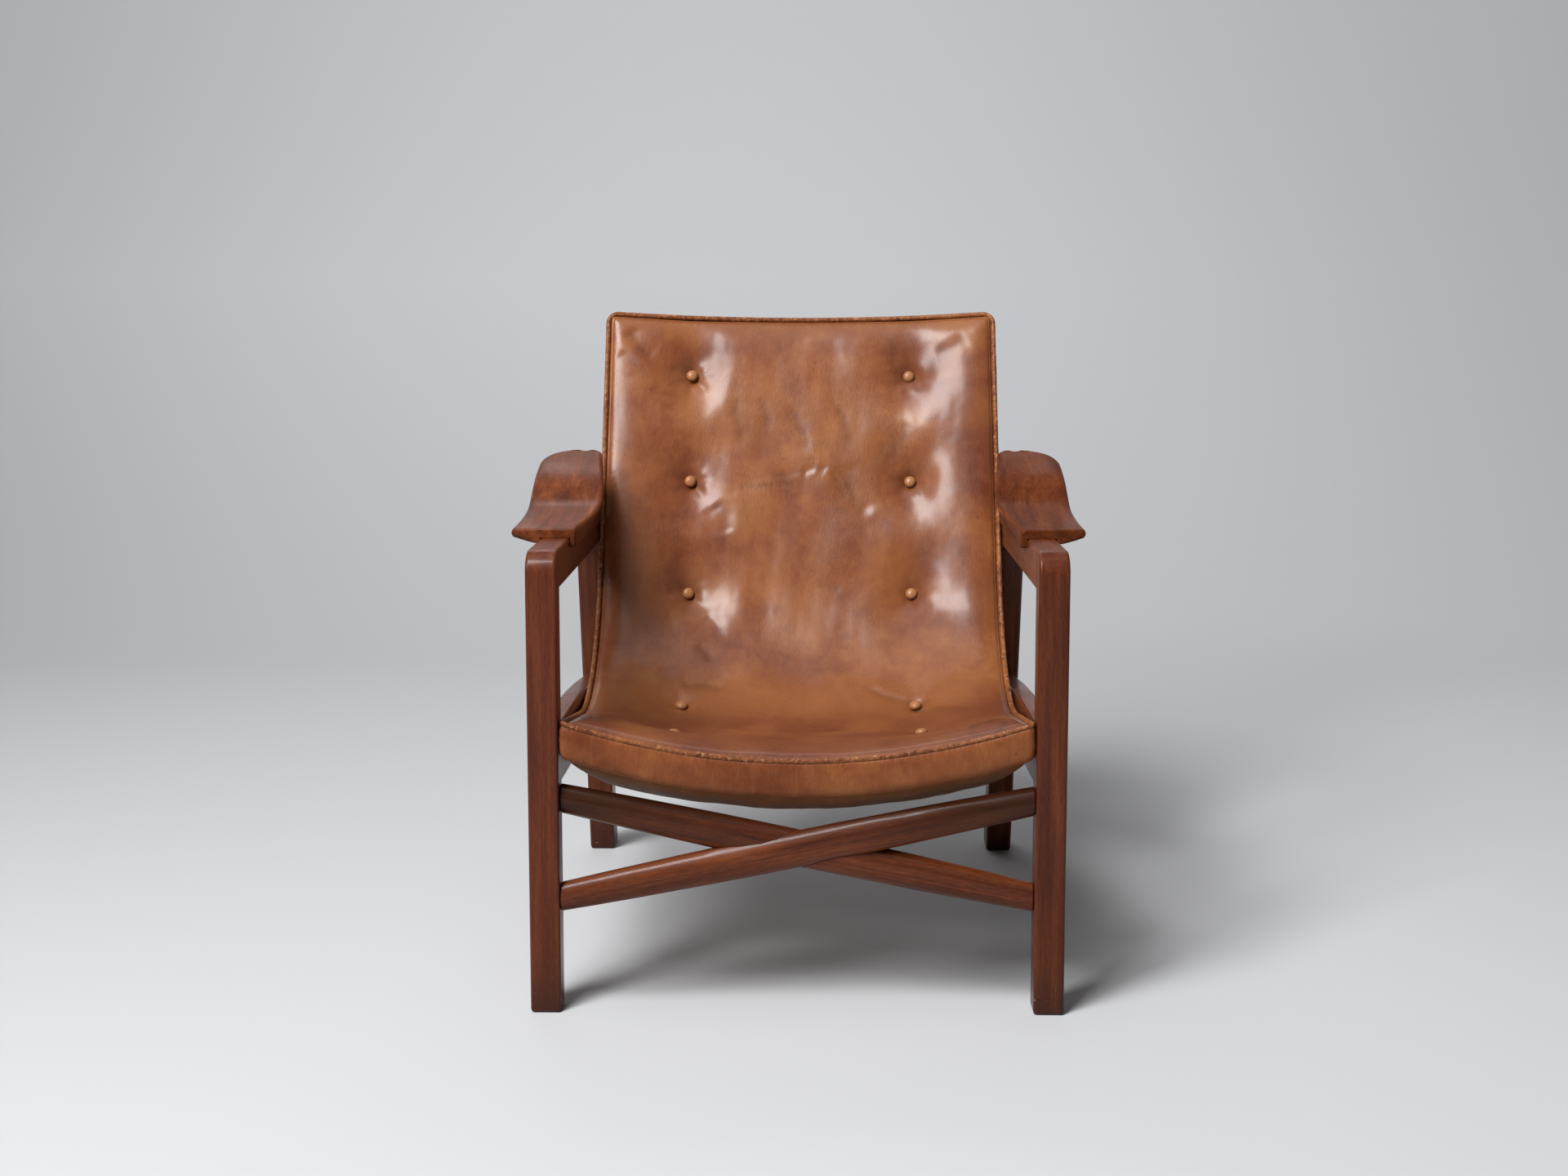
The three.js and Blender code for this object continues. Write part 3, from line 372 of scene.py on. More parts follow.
# Folds of the leather: points across and along, width, depth, lean
FOLDS = [
    ([(-0.075, 0.634), (-0.02, 0.64), (0.01, 0.647), (0.045, 0.652), (0.075, 0.647)],
     0.0045, 0.0006, 0.5),
    ([(-0.09, 0.622), (-0.04, 0.626), (0.0, 0.631)], 0.007, 0.0004, 0.3),
    ([(0.015, 0.64), (0.019, 0.655), (0.021, 0.668)], 0.0035, 0.0007, 0.6),
    ([(0.004, 0.634), (0.006, 0.645), (0.01, 0.654)], 0.003, 0.0007, -0.6),
    ([(0.028, 0.636), (0.034, 0.648), (0.04, 0.655)], 0.003, 0.0006, 0.6),
    ([(0.05, 0.655), (0.062, 0.63), (0.078, 0.6), (0.094, 0.575)], 0.012, 0.0024, 0.6),
    ([(0.044, 0.65), (0.056, 0.622), (0.066, 0.598)], 0.004, 0.0009, -0.5),
    ([(0.118, 0.652), (0.128, 0.676), (0.146, 0.7), (0.15, 0.722)], 0.012, 0.0013, 0.5),
    ([(0.1, 0.655), (0.112, 0.672), (0.122, 0.69)], 0.006, 0.0005, 0.5),
    ([(0.035, 0.762), (0.055, 0.735), (0.068, 0.7), (0.066, 0.672)], 0.007, 0.0006, 0.4),
    ([(-0.02, 0.745), (0.0, 0.718), (0.008, 0.69), (0.012, 0.668)], 0.008, 0.0008, -0.5),
    ([(-0.088, 0.76), (-0.092, 0.73), (-0.084, 0.7), (-0.09, 0.676)], 0.008, 0.0006, 0.5),
    ([(-0.06, 0.758), (-0.048, 0.728), (-0.044, 0.7)], 0.009, 0.0006, -0.4),
    ([(-0.118, 0.602), (-0.104, 0.58), (-0.098, 0.552)], 0.012, 0.0019, -0.5),
    ([(-0.128, 0.445), (-0.112, 0.425), (-0.106, 0.402)], 0.008, 0.0015, -0.5),
    ([(-0.14, 0.395), (-0.122, 0.38), (-0.118, 0.366)], 0.006, 0.0009, 0.4),
    ([(0.022, 0.484), (0.04, 0.479), (0.06, 0.476)], 0.005, 0.0008, 0.4),
    ([(0.085, 0.33), (0.115, 0.312), (0.15, 0.3), (0.185, 0.296)], 0.006, 0.0022, -0.6),
    ([(-0.16, 0.326), (-0.125, 0.33), (-0.095, 0.322)], 0.008, 0.0014, 0.5),
    ([(0.165, 0.283), (0.195, 0.262), (0.225, 0.24)], 0.009, 0.0016, 0.5),
    ([(-0.12, 0.225), (-0.06, 0.205), (0.02, 0.2), (0.09, 0.212)], 0.013, 0.0013, 0.4),
    ([(0.01, 0.15), (0.08, 0.118), (0.15, 0.105), (0.215, 0.11)], 0.012, 0.0013, -0.4),
    ([(-0.2, 0.105), (-0.15, 0.128), (-0.1, 0.122)], 0.01, 0.0011, 0.4),
    ([(-0.248, 0.852), (-0.228, 0.822), (-0.206, 0.806)], 0.01, 0.0024, 0.6),
    ([(-0.255, 0.82), (-0.236, 0.8), (-0.222, 0.78)], 0.007, 0.0013, -0.5),
    ([(0.236, 0.842), (0.214, 0.826), (0.19, 0.818)], 0.01, 0.0013, 0.5),
]

# The leather rises quickly over its rolled edge, then slowly to its crown
ROLL = 0.0045
ROLL_EDGE = 0.0035
CROWN_EDGE = 0.042
# The back's padding stands fuller than the seat's
BACK_FULL = 0.0060
FULL_FROM = 0.33
FULL_TO = 0.44
FULL_EDGE = 0.045
TUFT_WIDE = 0.034
TUFT_TALL = 1.4
TUFT_DEEP = 0.0095
TUFT_NEAR = 0.0095
TUFT_NEAR_DEEP = 0.0035
TUFT_BLEND = 3.0
TUFT_CORE = 0.55 * BUTTON_RADIUS
PLEAT_AT = 0.020
PLEAT_WIDE = 0.011
PLEAT_DEEP = 0.00032
FOLD_WIDER = 1.15
FOLD_SHALLOWER = 0.85
WAVES_EDGE = 0.03
PUCKER_PITCH = 0.0105
PUCKER_DEEP = 0.00042
SEAM_AT = 0.0036
SEAM_WIDE = 0.0009
SEAM_DEEP = 0.0008


def cover_height(x, s, fine=True):
    """How far the leather of the seat and back stands in front of the shell's face."""
    share = s / LENGTH
    crown = SEAT_CROWN + (BACK_CROWN - SEAT_CROWN) * share
    inside = eased_from_edge(x, s)
    height = ROLL * rise(inside, ROLL_EDGE) + (crown - ROLL) * rise(inside, CROWN_EDGE)
    full = BACK_FULL * smoothstep(s, FULL_FROM, FULL_TO)
    height = height + full * (1 - (1 - np.minimum(inside / FULL_EDGE, 1)) ** 2)
    drawn = np.zeros(np.shape(x))
    for i, row in enumerate(BUTTON_ROWS):
        for sign in (-1, 1):
            dx, ds = x - sign * BUTTON_SPREAD / 2, s - row
            away = np.hypot(dx, ds)
            turn = np.arctan2(ds, dx)
            seed = 7 * i + (3 if sign > 0 else 0)
            pleats = sum(
                math.cos(0.9 * k + seed) * np.cos(k * turn + 1.7 * k + seed) for k in (3, 5, 7, 8)
            )
            radius = np.maximum(away - TUFT_CORE, 0)
            deep = (TUFT_DEEP + full) * (1 + 0.10 * np.cos(2 * turn + seed))
            spread_out = np.maximum(np.hypot(dx, ds / TUFT_TALL) - TUFT_CORE, 0)
            wide = deep * np.exp(-((spread_out / TUFT_WIDE) ** 1.5))
            near = TUFT_NEAR_DEEP * bell(radius, TUFT_NEAR)
            ring = bell(away - PLEAT_AT, PLEAT_WIDE)
            drawn = drawn + np.maximum(wide + near + PLEAT_DEEP * pleats * ring, 0) ** TUFT_BLEND
    height = height - drawn ** (1 / TUFT_BLEND)
    if fine:
        swell = rise(inside, WAVES_EDGE)
        wide, tall = Waves(11, 0.085, 0.135)(x, s), Waves(12, 0.034, 0.095)(x, s)
        height = height + swell * (0.0010 * wide + 0.00018 * tall)
        height = height + swell * 0.00005 * Waves(13, 0.016, 0.030)(x, s)
        for points, width, depth, skew in FOLDS:
            height = height + stroke(x, s, points, FOLD_WIDER * width, FOLD_SHALLOWER * depth, skew)
        near_seam = bell(inside, 0.009) * smoothstep(inside, 0.0005, 0.003)
        along = np.where(HALF - np.abs(x) < np.minimum(s, LENGTH - s), s, x)
        uneven = Waves(14, 0.05, 0.05)(x, s)
        pucker = np.sin(TURN * along / PUCKER_PITCH + 2.5 * uneven)
        height = height + PUCKER_DEEP * near_seam * pucker * (0.6 + 0.4 * uneven)
        height = height - SEAM_DEEP * bell(inside - SEAM_AT, SEAM_WIDE)
    return height


# Meshes of the shell

def grid_faces(rows, columns, offset=0, turned=False):
    faces = []
    for i in range(rows - 1):
        for j in range(columns - 1):
            a = offset + i * columns + j
            quad = (a, a + 1, a + columns + 1, a + columns)
            faces.append(quad[::-1] if turned else quad)
    return faces


def rim_indices(rows, columns):
    front = list(range(columns))
    right = [i * columns + columns - 1 for i in range(1, rows)]
    back = [(rows - 1) * columns + j for j in range(columns - 2, -1, -1)]
    left = [i * columns for i in range(rows - 2, 0, -1)]
    return front + right + back + left


NEAR_EDGE = (
    0, 0.0006, 0.0013, 0.0021, 0.0029, 0.0035, 0.0041, 0.0048, 0.0058, 0.0072, 0.009, 0.0115, 0.0145
)


def spread(half, pitch):
    """Places from -half to half, close together near both ends."""
    inner = half - NEAR_EDGE[-1]
    count = max(int(inner / pitch), 4)
    positive = [inner * k / count for k in range(count)] + [half - d for d in reversed(NEAR_EDGE)]
    return np.array([-v for v in reversed(positive[1:])] + positive)


def cover_grid(inset, pitch):
    middle = LENGTH / 2
    s = middle + spread(middle - inset, pitch)
    unit = spread(HALF - inset, pitch)
    half = edge_at(s, inset)
    x = unit[None, :] * (half / (HALF - inset))[:, None]
    return x, np.repeat(s[:, None], len(unit), axis=1)


def slab(name, x, s, front, rims, rear):
    """A closed slab of the shell: a front face, rims at depths between, and a rear face."""
    rows, columns = x.shape
    loop = rim_indices(rows, columns)
    rim_x, rim_s = x.reshape(-1)[loop], s.reshape(-1)[loop]
    verts = [shell_point(x, s, front).reshape(-1, 3)]
    faces = grid_faces(rows, columns)
    before = np.array(loop)
    total = rows * columns
    for depth in rims:
        verts.append(shell_point(rim_x, rim_s, depth))
        after = total + np.arange(len(loop))
        total += len(loop)
        faces += ring_faces(before, after)
        before = after
    verts.append(shell_point(x, s, rear).reshape(-1, 3))
    after = total + np.array(loop)
    faces += ring_faces(before, after)
    faces += grid_faces(rows, columns, total, turned=True)
    return solid(name, np.concatenate(verts), faces)


def ring_faces(upper, lower):
    pairs = list(zip(upper, lower))
    return [(c, a, b, d) for (a, b), (c, d) in zip(pairs, pairs[1:] + pairs[:1])]


def tube_faces(rings, count, first=0, closed=False):
    """The faces between rings of points that follow each other."""
    faces = []
    for i in range(rings if closed else rings - 1):
        a, b = first + i * count, first + (i + 1) % rings * count
        faces += [(a + k, a + (k + 1) % count, b + (k + 1) % count, b + k) for k in range(count)]
    return faces


def closed_ring(name, sections):
    """A tube round the outline, from a closed list of rings of points."""
    faces = tube_faces(len(sections), len(sections[0]), closed=True)
    return solid(name, np.concatenate(sections), faces)


def solid(name, verts, faces):
    """A closed mesh, turned right side out."""
    obj = new_object(name, verts, faces)
    mesh = obj.data
    form = bmesh.new()
    form.from_mesh(mesh)
    if form.calc_volume(signed=True) < 0:
        bmesh.ops.reverse_faces(form, faces=form.faces)
        form.to_mesh(mesh)
    form.free()
    return obj


COVER_INSET = 2 * PIPING_RADIUS + 0.0001
COVER_LAP = 0.0008
COVER_PITCH = 0.0031
COVER_SINK = 0.0012
COVER_RIMS = (-0.004, -0.008)
COVER_REAR = -0.0112
PIPING_PITCH = 0.0016
PIPING_SIDES = 14


def make_cover():
    x, s = cover_grid(COVER_INSET - COVER_LAP, COVER_PITCH)
    front = cover_height(x, s) - COVER_SINK
    return slab("leather_cover", x, s, front, COVER_RIMS, np.full(x.shape, COVER_REAR))


# The band's section: how far in from the outline and how far in front of the face
BAND_SECTION = (
    (0.0022, -0.0021), (0.0008, -0.0034), (0.0, -0.0052), (-0.0007, -0.0085), (-0.0012, -0.014),
    (-0.0014, -0.02), (-0.0013, -0.026), (-0.0009, -0.032), (-0.0002, -0.0362), (0.001, -0.0392),
    (0.003, -0.0413), (0.0056, -0.0423), (0.009, -0.0424), (0.0096, -0.0412), (0.009, -0.0396),
    (0.003, -0.0396), (0.0026, -0.038), (0.0026, -0.02), (0.0026, -0.0036),
)


def along_of(loop):
    """The distance of each point along a closed loop, and the loop's length."""
    steps = np.hypot(*(np.roll(loop, -1, axis=0) - loop).T)
    return np.concatenate([[0], np.cumsum(steps)[:-1]]), steps.sum()


def make_band():
    base = outline(0, PIPING_PITCH)
    along, _ = along_of(base)
    wander = Waves(21, 0.11, 0.11)
    close = Waves(22, 0.03, 0.03)
    out = base - outline(0.001, PIPING_PITCH)
    out = out / np.maximum(np.hypot(*out.T), 1e-9)[:, None]
    sections = []
    for inset, n in BAND_SECTION:
        rim = outline(max(inset, 0), PIPING_PITCH)
        if inset < 0:
            rim = rim - inset * out
        shown = float(inset < 0.006 and n > -0.0425)
        depth = n + 0 * along
        near_top = bell(-n - 0.0042, 0.0022)
        ripple = np.sin(TURN * along / 0.0062 + 3 * close(rim[:, 0], rim[:, 1]))
        sway = shown * (0.00045 * wander(along, -20 * depth) + 0.0002 * close(along, 8 * depth))
        moved = rim + (0.00028 * near_top * ripple + sway)[:, None] * out
        sections.append(shell_point(moved[:, 0], moved[:, 1], depth))
    return closed_ring("leather_band", sections)


def make_piping():
    outer, inner = outline(0, PIPING_PITCH), outline(2 * PIPING_RADIUS, PIPING_PITCH)
    along, _ = along_of(outer)
    lumps = Waves(31, 0.022, 0.022)
    fine = Waves(32, 0.006, 0.006)
    sections = []
    for k in range(PIPING_SIDES):
        turn = TURN * k / PIPING_SIDES
        uneven = 1 + 0.045 * lumps(along, 0.02 * k) + 0.02 * fine(along, 0.004 * k)
        radius = PIPING_RADIUS * uneven
        reach = (outer - inner) / 2 * (radius / PIPING_RADIUS)[:, None]
        at = (outer + inner) / 2 + reach * math.cos(turn) * 1.02
        sections.append(shell_point(at[:, 0], at[:, 1], radius * math.sin(turn) * 1.04))
    return closed_ring("leather_piping", sections)


REAR_INSET = 0.0088
REAR_PITCH = 0.005
SEAT_BULGE = 0.026
BACK_BULGE = 0.005


def make_rear_cover():
    x, s = cover_grid(REAR_INSET, REAR_PITCH)
    inside = np.maximum(from_edge(x, s) - REAR_INSET, 0)
    bulge = SEAT_BULGE + (BACK_BULGE - SEAT_BULGE) * smoothstep(s, 0, SEAT_RUN + BEND_LENGTH)
    waves = 0.0010 * Waves(41, 0.12, 0.17)(x, s) + 0.00035 * Waves(42, 0.04, 0.06)(x, s)
    tucked = 0.0016 * bell(inside, 0.0022)
    rear = -THICKNESS - bulge * rise(inside, 0.034) + tucked
    rear = rear - waves * rise(inside, WAVES_EDGE)
    inner = np.minimum(-THICKNESS + 0.0024, rear + LEATHER)
    return slab("leather_rear", x, s, inner, [-THICKNESS + 0.0021], rear)


def surface_frame(x, s):
    """A point of the shell's face, its outward normal and its two directions."""
    step = 0.001
    at = shell_point(x, s, 0)
    across = shell_point(x + step, s, 0) - shell_point(x - step, s, 0)
    along = shell_point(x, s + step, 0) - shell_point(x, s - step, 0)
    across /= np.linalg.norm(across)
    normal = np.cross(across, along)
    normal /= np.linalg.norm(normal)
    return at, normal, across, np.cross(normal, across)


BUTTON_SIDES = 40
BUTTON_LIFT = 0.0012
# A share of the radius and a height, from the middle of the underside up to near the top's
BUTTON_PROFILE = (
    (0.0, -0.002), (0.4, -0.0018), (0.78, -0.0012), (0.93, -0.0002), (1.0, 0.001), (0.995, 0.002),
    (0.955, 0.003), (0.88, 0.004), (0.76, 0.0049), (0.6, 0.0056), (0.4, 0.0061), (0.2, 0.0063),
)


def make_button(name, x, s, seed):
    rng = np.random.default_rng(seed)
    sides = BUTTON_SIDES
    at, normal, across, along = surface_frame(x, s)
    lift = float(cover_height(np.array([x]), np.array([s]), fine=False)[0]) + BUTTON_LIFT
    lean = rng.uniform(-0.09, 0.09, 2)
    axis = normal + lean[0] * across + lean[1] * along
    axis /= np.linalg.norm(axis)
    east = np.cross(along, axis)
    east /= np.linalg.norm(east)
    north = np.cross(axis, east)
    verts = []
    for share, height in BUTTON_PROFILE[1:]:
        for k in range(sides):
            turn = TURN * k / sides
            gathered = 1 + 0.018 * math.sin(9 * turn + seed) * smoothstep(share, 0.5, 1.0)
            radius = BUTTON_RADIUS * share * gathered
            centre = at + axis * (lift + height)
            verts.append(centre + east * radius * math.cos(turn) + north * radius * math.sin(turn))
    rings = len(BUTTON_PROFILE) - 1
    faces = tube_faces(rings, sides)
    verts.append(at + axis * (lift + BUTTON_PROFILE[0][1]))
    verts.append(at + axis * (lift + BUTTON_PROFILE[-1][1] + 0.0001))
    low, high, top = rings * sides, rings * sides + 1, (rings - 1) * sides
    for k in range(sides):
        faces.append((low, (k + 1) % sides, k))
        faces.append((high, top + k, top + (k + 1) % sides))
    return solid(name, verts, faces)


def capsule(a, b, radius, up, verts, faces, sides=6):
    """Adds a stitch's points and faces to the lists: a thread that rises between a and b."""
    a, b, up = np.array(a), np.array(b), np.array(up)
    way = (b - a) / np.linalg.norm(b - a)
    flank = np.cross(way, up)
    flank /= np.linalg.norm(flank)
    first = len(verts)
    shares = (0.0, 0.12, 0.35, 0.65, 0.88, 1.0)
    for share in shares:
        arch = math.sin(math.pi * share)
        centre = a + (b - a) * share + up * (radius * (1.1 * arch - 0.6))
        size = radius * (0.45 + 0.55 * min(1, arch * 2.2))
        for k in range(sides):
            turn = TURN * k / sides
            verts.append(centre + flank * size * math.cos(turn) + up * size * math.sin(turn))
    faces += tube_faces(len(shares), sides, first)
    last = first + (len(shares) - 1) * sides
    faces.append(tuple(first + k for k in reversed(range(sides))))
    faces.append(tuple(last + k for k in range(sides)))


STITCH_PITCH = 0.0048
STITCH_LENGTH = 0.0034
STITCH_RADIUS = 0.00035
STITCH_INSET = 0.0036


def make_stitches():
    loop = outline(COVER_INSET + STITCH_INSET, 0.0008)
    along, total = along_of(loop)
    count = int(total / STITCH_PITCH)
    verts, faces = [], []
    height = cover_height(loop[:, 0], loop[:, 1]) - COVER_SINK
    rng = np.random.default_rng(5)
    for i in range(count):
        start = i * total / count + rng.uniform(-0.0002, 0.0002)
        ends = []
        for place in (start, start + STITCH_LENGTH):
            place = place % total
            at = [np.interp(place, along, loop[:, axis], period=total) for axis in (0, 1)]
            n = np.interp(place, along, height, period=total)
            point, normal, _, _ = surface_frame(*at)
            ends.append((point + normal * n, normal))
        capsule(ends[0][0], ends[1][0], STITCH_RADIUS, ends[0][1], verts, faces)
    return new_object("stitches", verts, faces)


# Materials

class Graph:
    """A material's node tree, built by short calls."""

    def __init__(self, name):
        self.material = bpy.data.materials.new(name)
        self.tree = empty_tree(self.material)
        self.shader = self.node("BsdfPrincipled")
        self.node("OutputMaterial", {0: self.shader.outputs[0]})

    def node(self, kind, inputs=None, **settings):
        return add_node(self.tree, kind, inputs, **settings)

    def done(self, colour, roughness, normal, **constants):
        """Sets the shader, its constants on its own sockets, and gives the material."""
        for name, value in (("Base Color", colour), ("Roughness", roughness), ("Normal", normal)):
            put(self.tree, self.shader.inputs[name], value)
        for name, value in constants.items():
            self.shader.inputs[name.replace("_", " ")].default_value = value
        return self.material

    def coords(self):
        return self.node("TexCoord").outputs["Object"]

    def attribute(self, name):
        return self.node("Attribute", attribute_name=name).outputs["Fac"]

    def map(self, vector, scale=(1, 1, 1), turn=(0, 0, 0), move=(0, 0, 0)):
        inputs = {"Vector": vector, "Scale": scale, "Rotation": turn, "Location": move}
        return self.node("Mapping", inputs).outputs[0]

    def noise(self, vector, scale, detail=3.0, rough=0.5, distortion=0.0):
        inputs = {"Vector": vector, "Scale": scale, "Detail": detail, "Roughness": rough}
        return self.node("TexNoise", {**inputs, "Distortion": distortion}).outputs["Fac"]

    def bent(self, vector, scale, amount):
        """The vector pushed about by a noise."""
        push = self.node("TexNoise", {"Vector": vector, "Scale": scale}).outputs["Color"]
        inputs = {0: push, 1: (amount, amount, amount), 2: vector}
        return self.node("VectorMath", inputs, operation="MULTIPLY_ADD").outputs[0]

    def cells(self, vector, scale, feature="F1"):
        inputs = {"Vector": vector, "Scale": scale}
        return self.node("TexVoronoi", inputs, feature=feature).outputs["Distance"]

    def ramp(self, value, low, high, to_low=0.0, to_high=1.0):
        ends = {"From Min": low, "From Max": high, "To Min": to_low, "To Max": to_high}
        return self.node("MapRange", {"Value": value, **ends}).outputs[0]

    def math(self, operation, a, b):
        return self.node("Math", {0: a, 1: b}, operation=operation).outputs[0]

    def times(self, a, b):
        return self.math("MULTIPLY", a, b)

    def total(self, *parts):
        """The sum of several values, each times its share."""
        total, *others = [self.times(value, share) for value, share in parts]
        for value in others:
            total = self.math("ADD", total, value)
        return total

    def mix(self, share, a, b, blend="MIX"):
        node = self.node("Mix", {0: share, 6: a, 7: b}, data_type="RGBA", blend_type=blend)
        return node.outputs[2]

    def colours(self, value, stops):
        node = self.node("ValToRGB", {0: value})
        elements = node.color_ramp.elements
        while len(elements) < len(stops):
            elements.new(0.5)
        for element, (place, colour) in zip(elements, stops):
            element.position = place
            element.color = colour
        return node.outputs[0]

    def bump(self, height, strength, distance, normal=None):
        inputs = {"Height": height, "Strength": strength, "Distance": distance, "Normal": normal}
        return self.node("Bump", inputs).outputs[0]


WOOD_DARK = srgb(48, 20, 10)
WOOD_MIDDLE = srgb(92, 44, 22)
WOOD_LIGHT = srgb(132, 72, 38)
WOOD_WARM = srgb(88, 40, 22)
WOOD_RED = srgb(92, 38, 22)
WOOD_PORES = srgb(34, 15, 9)
# The colour of the painted shade on the stretchers' tops under the seat
WOOD_PAINTED_SHADE = srgb(26, 10, 4)
WOOD_FOOT = srgb(52, 29, 20)
WOOD_CHIPPED = srgb(172, 124, 96)
# Over what height the painted shade on the stretchers fades in, upwards
PAINTED_SHADE_FADE = 0.05
FOOT_FROM = 0.10
FOOT_TO = 0.03


def wood_material(name, grain, tone=1.0, red=0.0, seed=0, gloss=0.10, coat=0.17, painted_shade_from=None):
    """Polished mahogany, worn near the floor, with painted shade above a height."""
    g = Graph(name)
    turn = Vector(grain).normalized().rotation_difference(Vector((0, 0, 1))).to_euler()
    shift = (0.37 * seed, 0.53 * seed, 0.71 * seed)
    at = g.map(g.map(g.coords(), turn=tuple(turn)), move=shift)
    wander = g.noise(g.map(at, scale=(1, 1, 0.12)), 9, 2)
    bands = g.noise(g.map(at, scale=(1, 1, 0.045)), 85, 4, 0.6, 0.25)
    streaks = g.noise(g.map(at, scale=(1, 1, 0.022)), 330, 3, 0.6)
    flame = g.noise(g.map(at, scale=(1, 1, 0.2)), 22, 3, 0.5, 0.6)
    fine = g.noise(g.map(at, scale=(1, 1, 0.07)), 1100, 2, 0.6)
    flecks = g.ramp(fine, 0.36, 0.44, 1, 0)
    pores = g.ramp(fine, 0.56, 0.66)
    body = g.total((bands, 0.5), (flame, 0.3), (streaks, 0.2))
    colour = g.colours(body, [(0.36, WOOD_DARK), (0.50, WOOD_MIDDLE), (0.66, WOOD_LIGHT)])
    colour = g.mix(g.times(g.ramp(wander, 0.35, 0.65), 0.35), colour, WOOD_WARM)
    colour = g.mix(g.times(flecks, 0.22), colour, WOOD_LIGHT)
    colour = g.mix(g.times(pores, 0.55), colour, WOOD_PORES)
    if red:
        colour = g.mix(red, colour, WOOD_RED)
    if tone < 1:
        colour = g.mix(1.0, colour, (tone, tone, tone, 1), "MULTIPLY")
    else:
        colour = g.mix(tone - 1, colour, WOOD_LIGHT)
    height = g.node("SeparateXYZ", {0: g.coords()}).outputs["Z"]
    # Painted shade: darker above this height, standing in for the seat's shadow
    if painted_shade_from:
        painted_shade = g.ramp(height, painted_shade_from, painted_shade_from + PAINTED_SHADE_FADE, 0, 0.8)
        colour = g.mix(painted_shade, colour, WOOD_PAINTED_SHADE)
    smudges = g.noise(at, 16, 3, 0.6)
    foot = g.ramp(g.math("ADD", height, g.times(smudges, 0.05)), FOOT_TO, FOOT_FROM, 0.75, 0)
    colour = g.mix(foot, colour, WOOD_FOOT)
    chips = g.ramp(g.noise(g.map(at, move=(1.3, 0.4, 2.6)), 240, 2, 0.5), 0.69, 0.73)
    colour = g.mix(g.times(chips, foot), colour, WOOD_CHIPPED)
    roughness = g.ramp(smudges, 0.3, 0.7, 0.27, 0.40)
    normal = g.bump(g.math("SUBTRACT", g.times(streaks, 0.35), pores), 0.35, 0.00012)
    normal = g.bump(g.noise(g.map(at, scale=(1, 1, 0.3)), 26, 2), 0.12, 0.0012, normal)
    coats = {"Coat_Weight": coat, "Coat_Roughness": 0.13}
    return g.done(colour, roughness, normal, Specular_IOR_Level=gloss, **coats)


def plain_wood_material(name):
    g = Graph(name)
    streaks = g.noise(g.map(g.coords(), scale=(1, 0.06, 0.06)), 160, 4, 0.6)
    colour = g.colours(streaks, [(0.3, srgb(150, 112, 74)), (0.7, srgb(196, 160, 116))])
    return g.done(colour, g.ramp(streaks, 0.3, 0.7, 0.6, 0.8), g.bump(streaks, 0.3, 0.0003))


def brass_material(name):
    g = Graph(name)
    at = g.coords()
    tarnish = g.noise(at, 180, 4, 0.6)
    colour = g.colours(tarnish, [(0.35, srgb(104, 80, 42)), (0.65, srgb(182, 148, 84))])
    turned = g.bump(g.noise(at, 1400, 1), 0.15, 0.0001)
    return g.done(colour, g.ramp(tarnish, 0.3, 0.7, 0.42, 0.26), turned, Metallic=1.0)


def thread_material(name):
    g = Graph(name)
    twist = g.noise(g.coords(), 2600, 2)
    colour = g.colours(twist, [(0.35, srgb(54, 30, 18)), (0.65, srgb(104, 66, 38))])
    return g.done(colour, 0.75, g.bump(twist, 0.4, 0.0001))


HIDE_DEEP = srgb(102, 49, 26)
HIDE_MIDDLE = srgb(127, 70, 39)
HIDE_OCHRE = srgb(150, 93, 51)
HIDE_PALE = srgb(186, 132, 88)
HIDE_DULL = srgb(98, 66, 36)
# The colour of the painted shade and of the darker tone on the cover
HIDE_PAINTED_SHADE_AND_TONE = srgb(96, 46, 27)
# The colour of real stains and grime, and of the painted shade along the folds
HIDE_STAIN_AND_FOLD_SHADE = srgb(58, 28, 18)


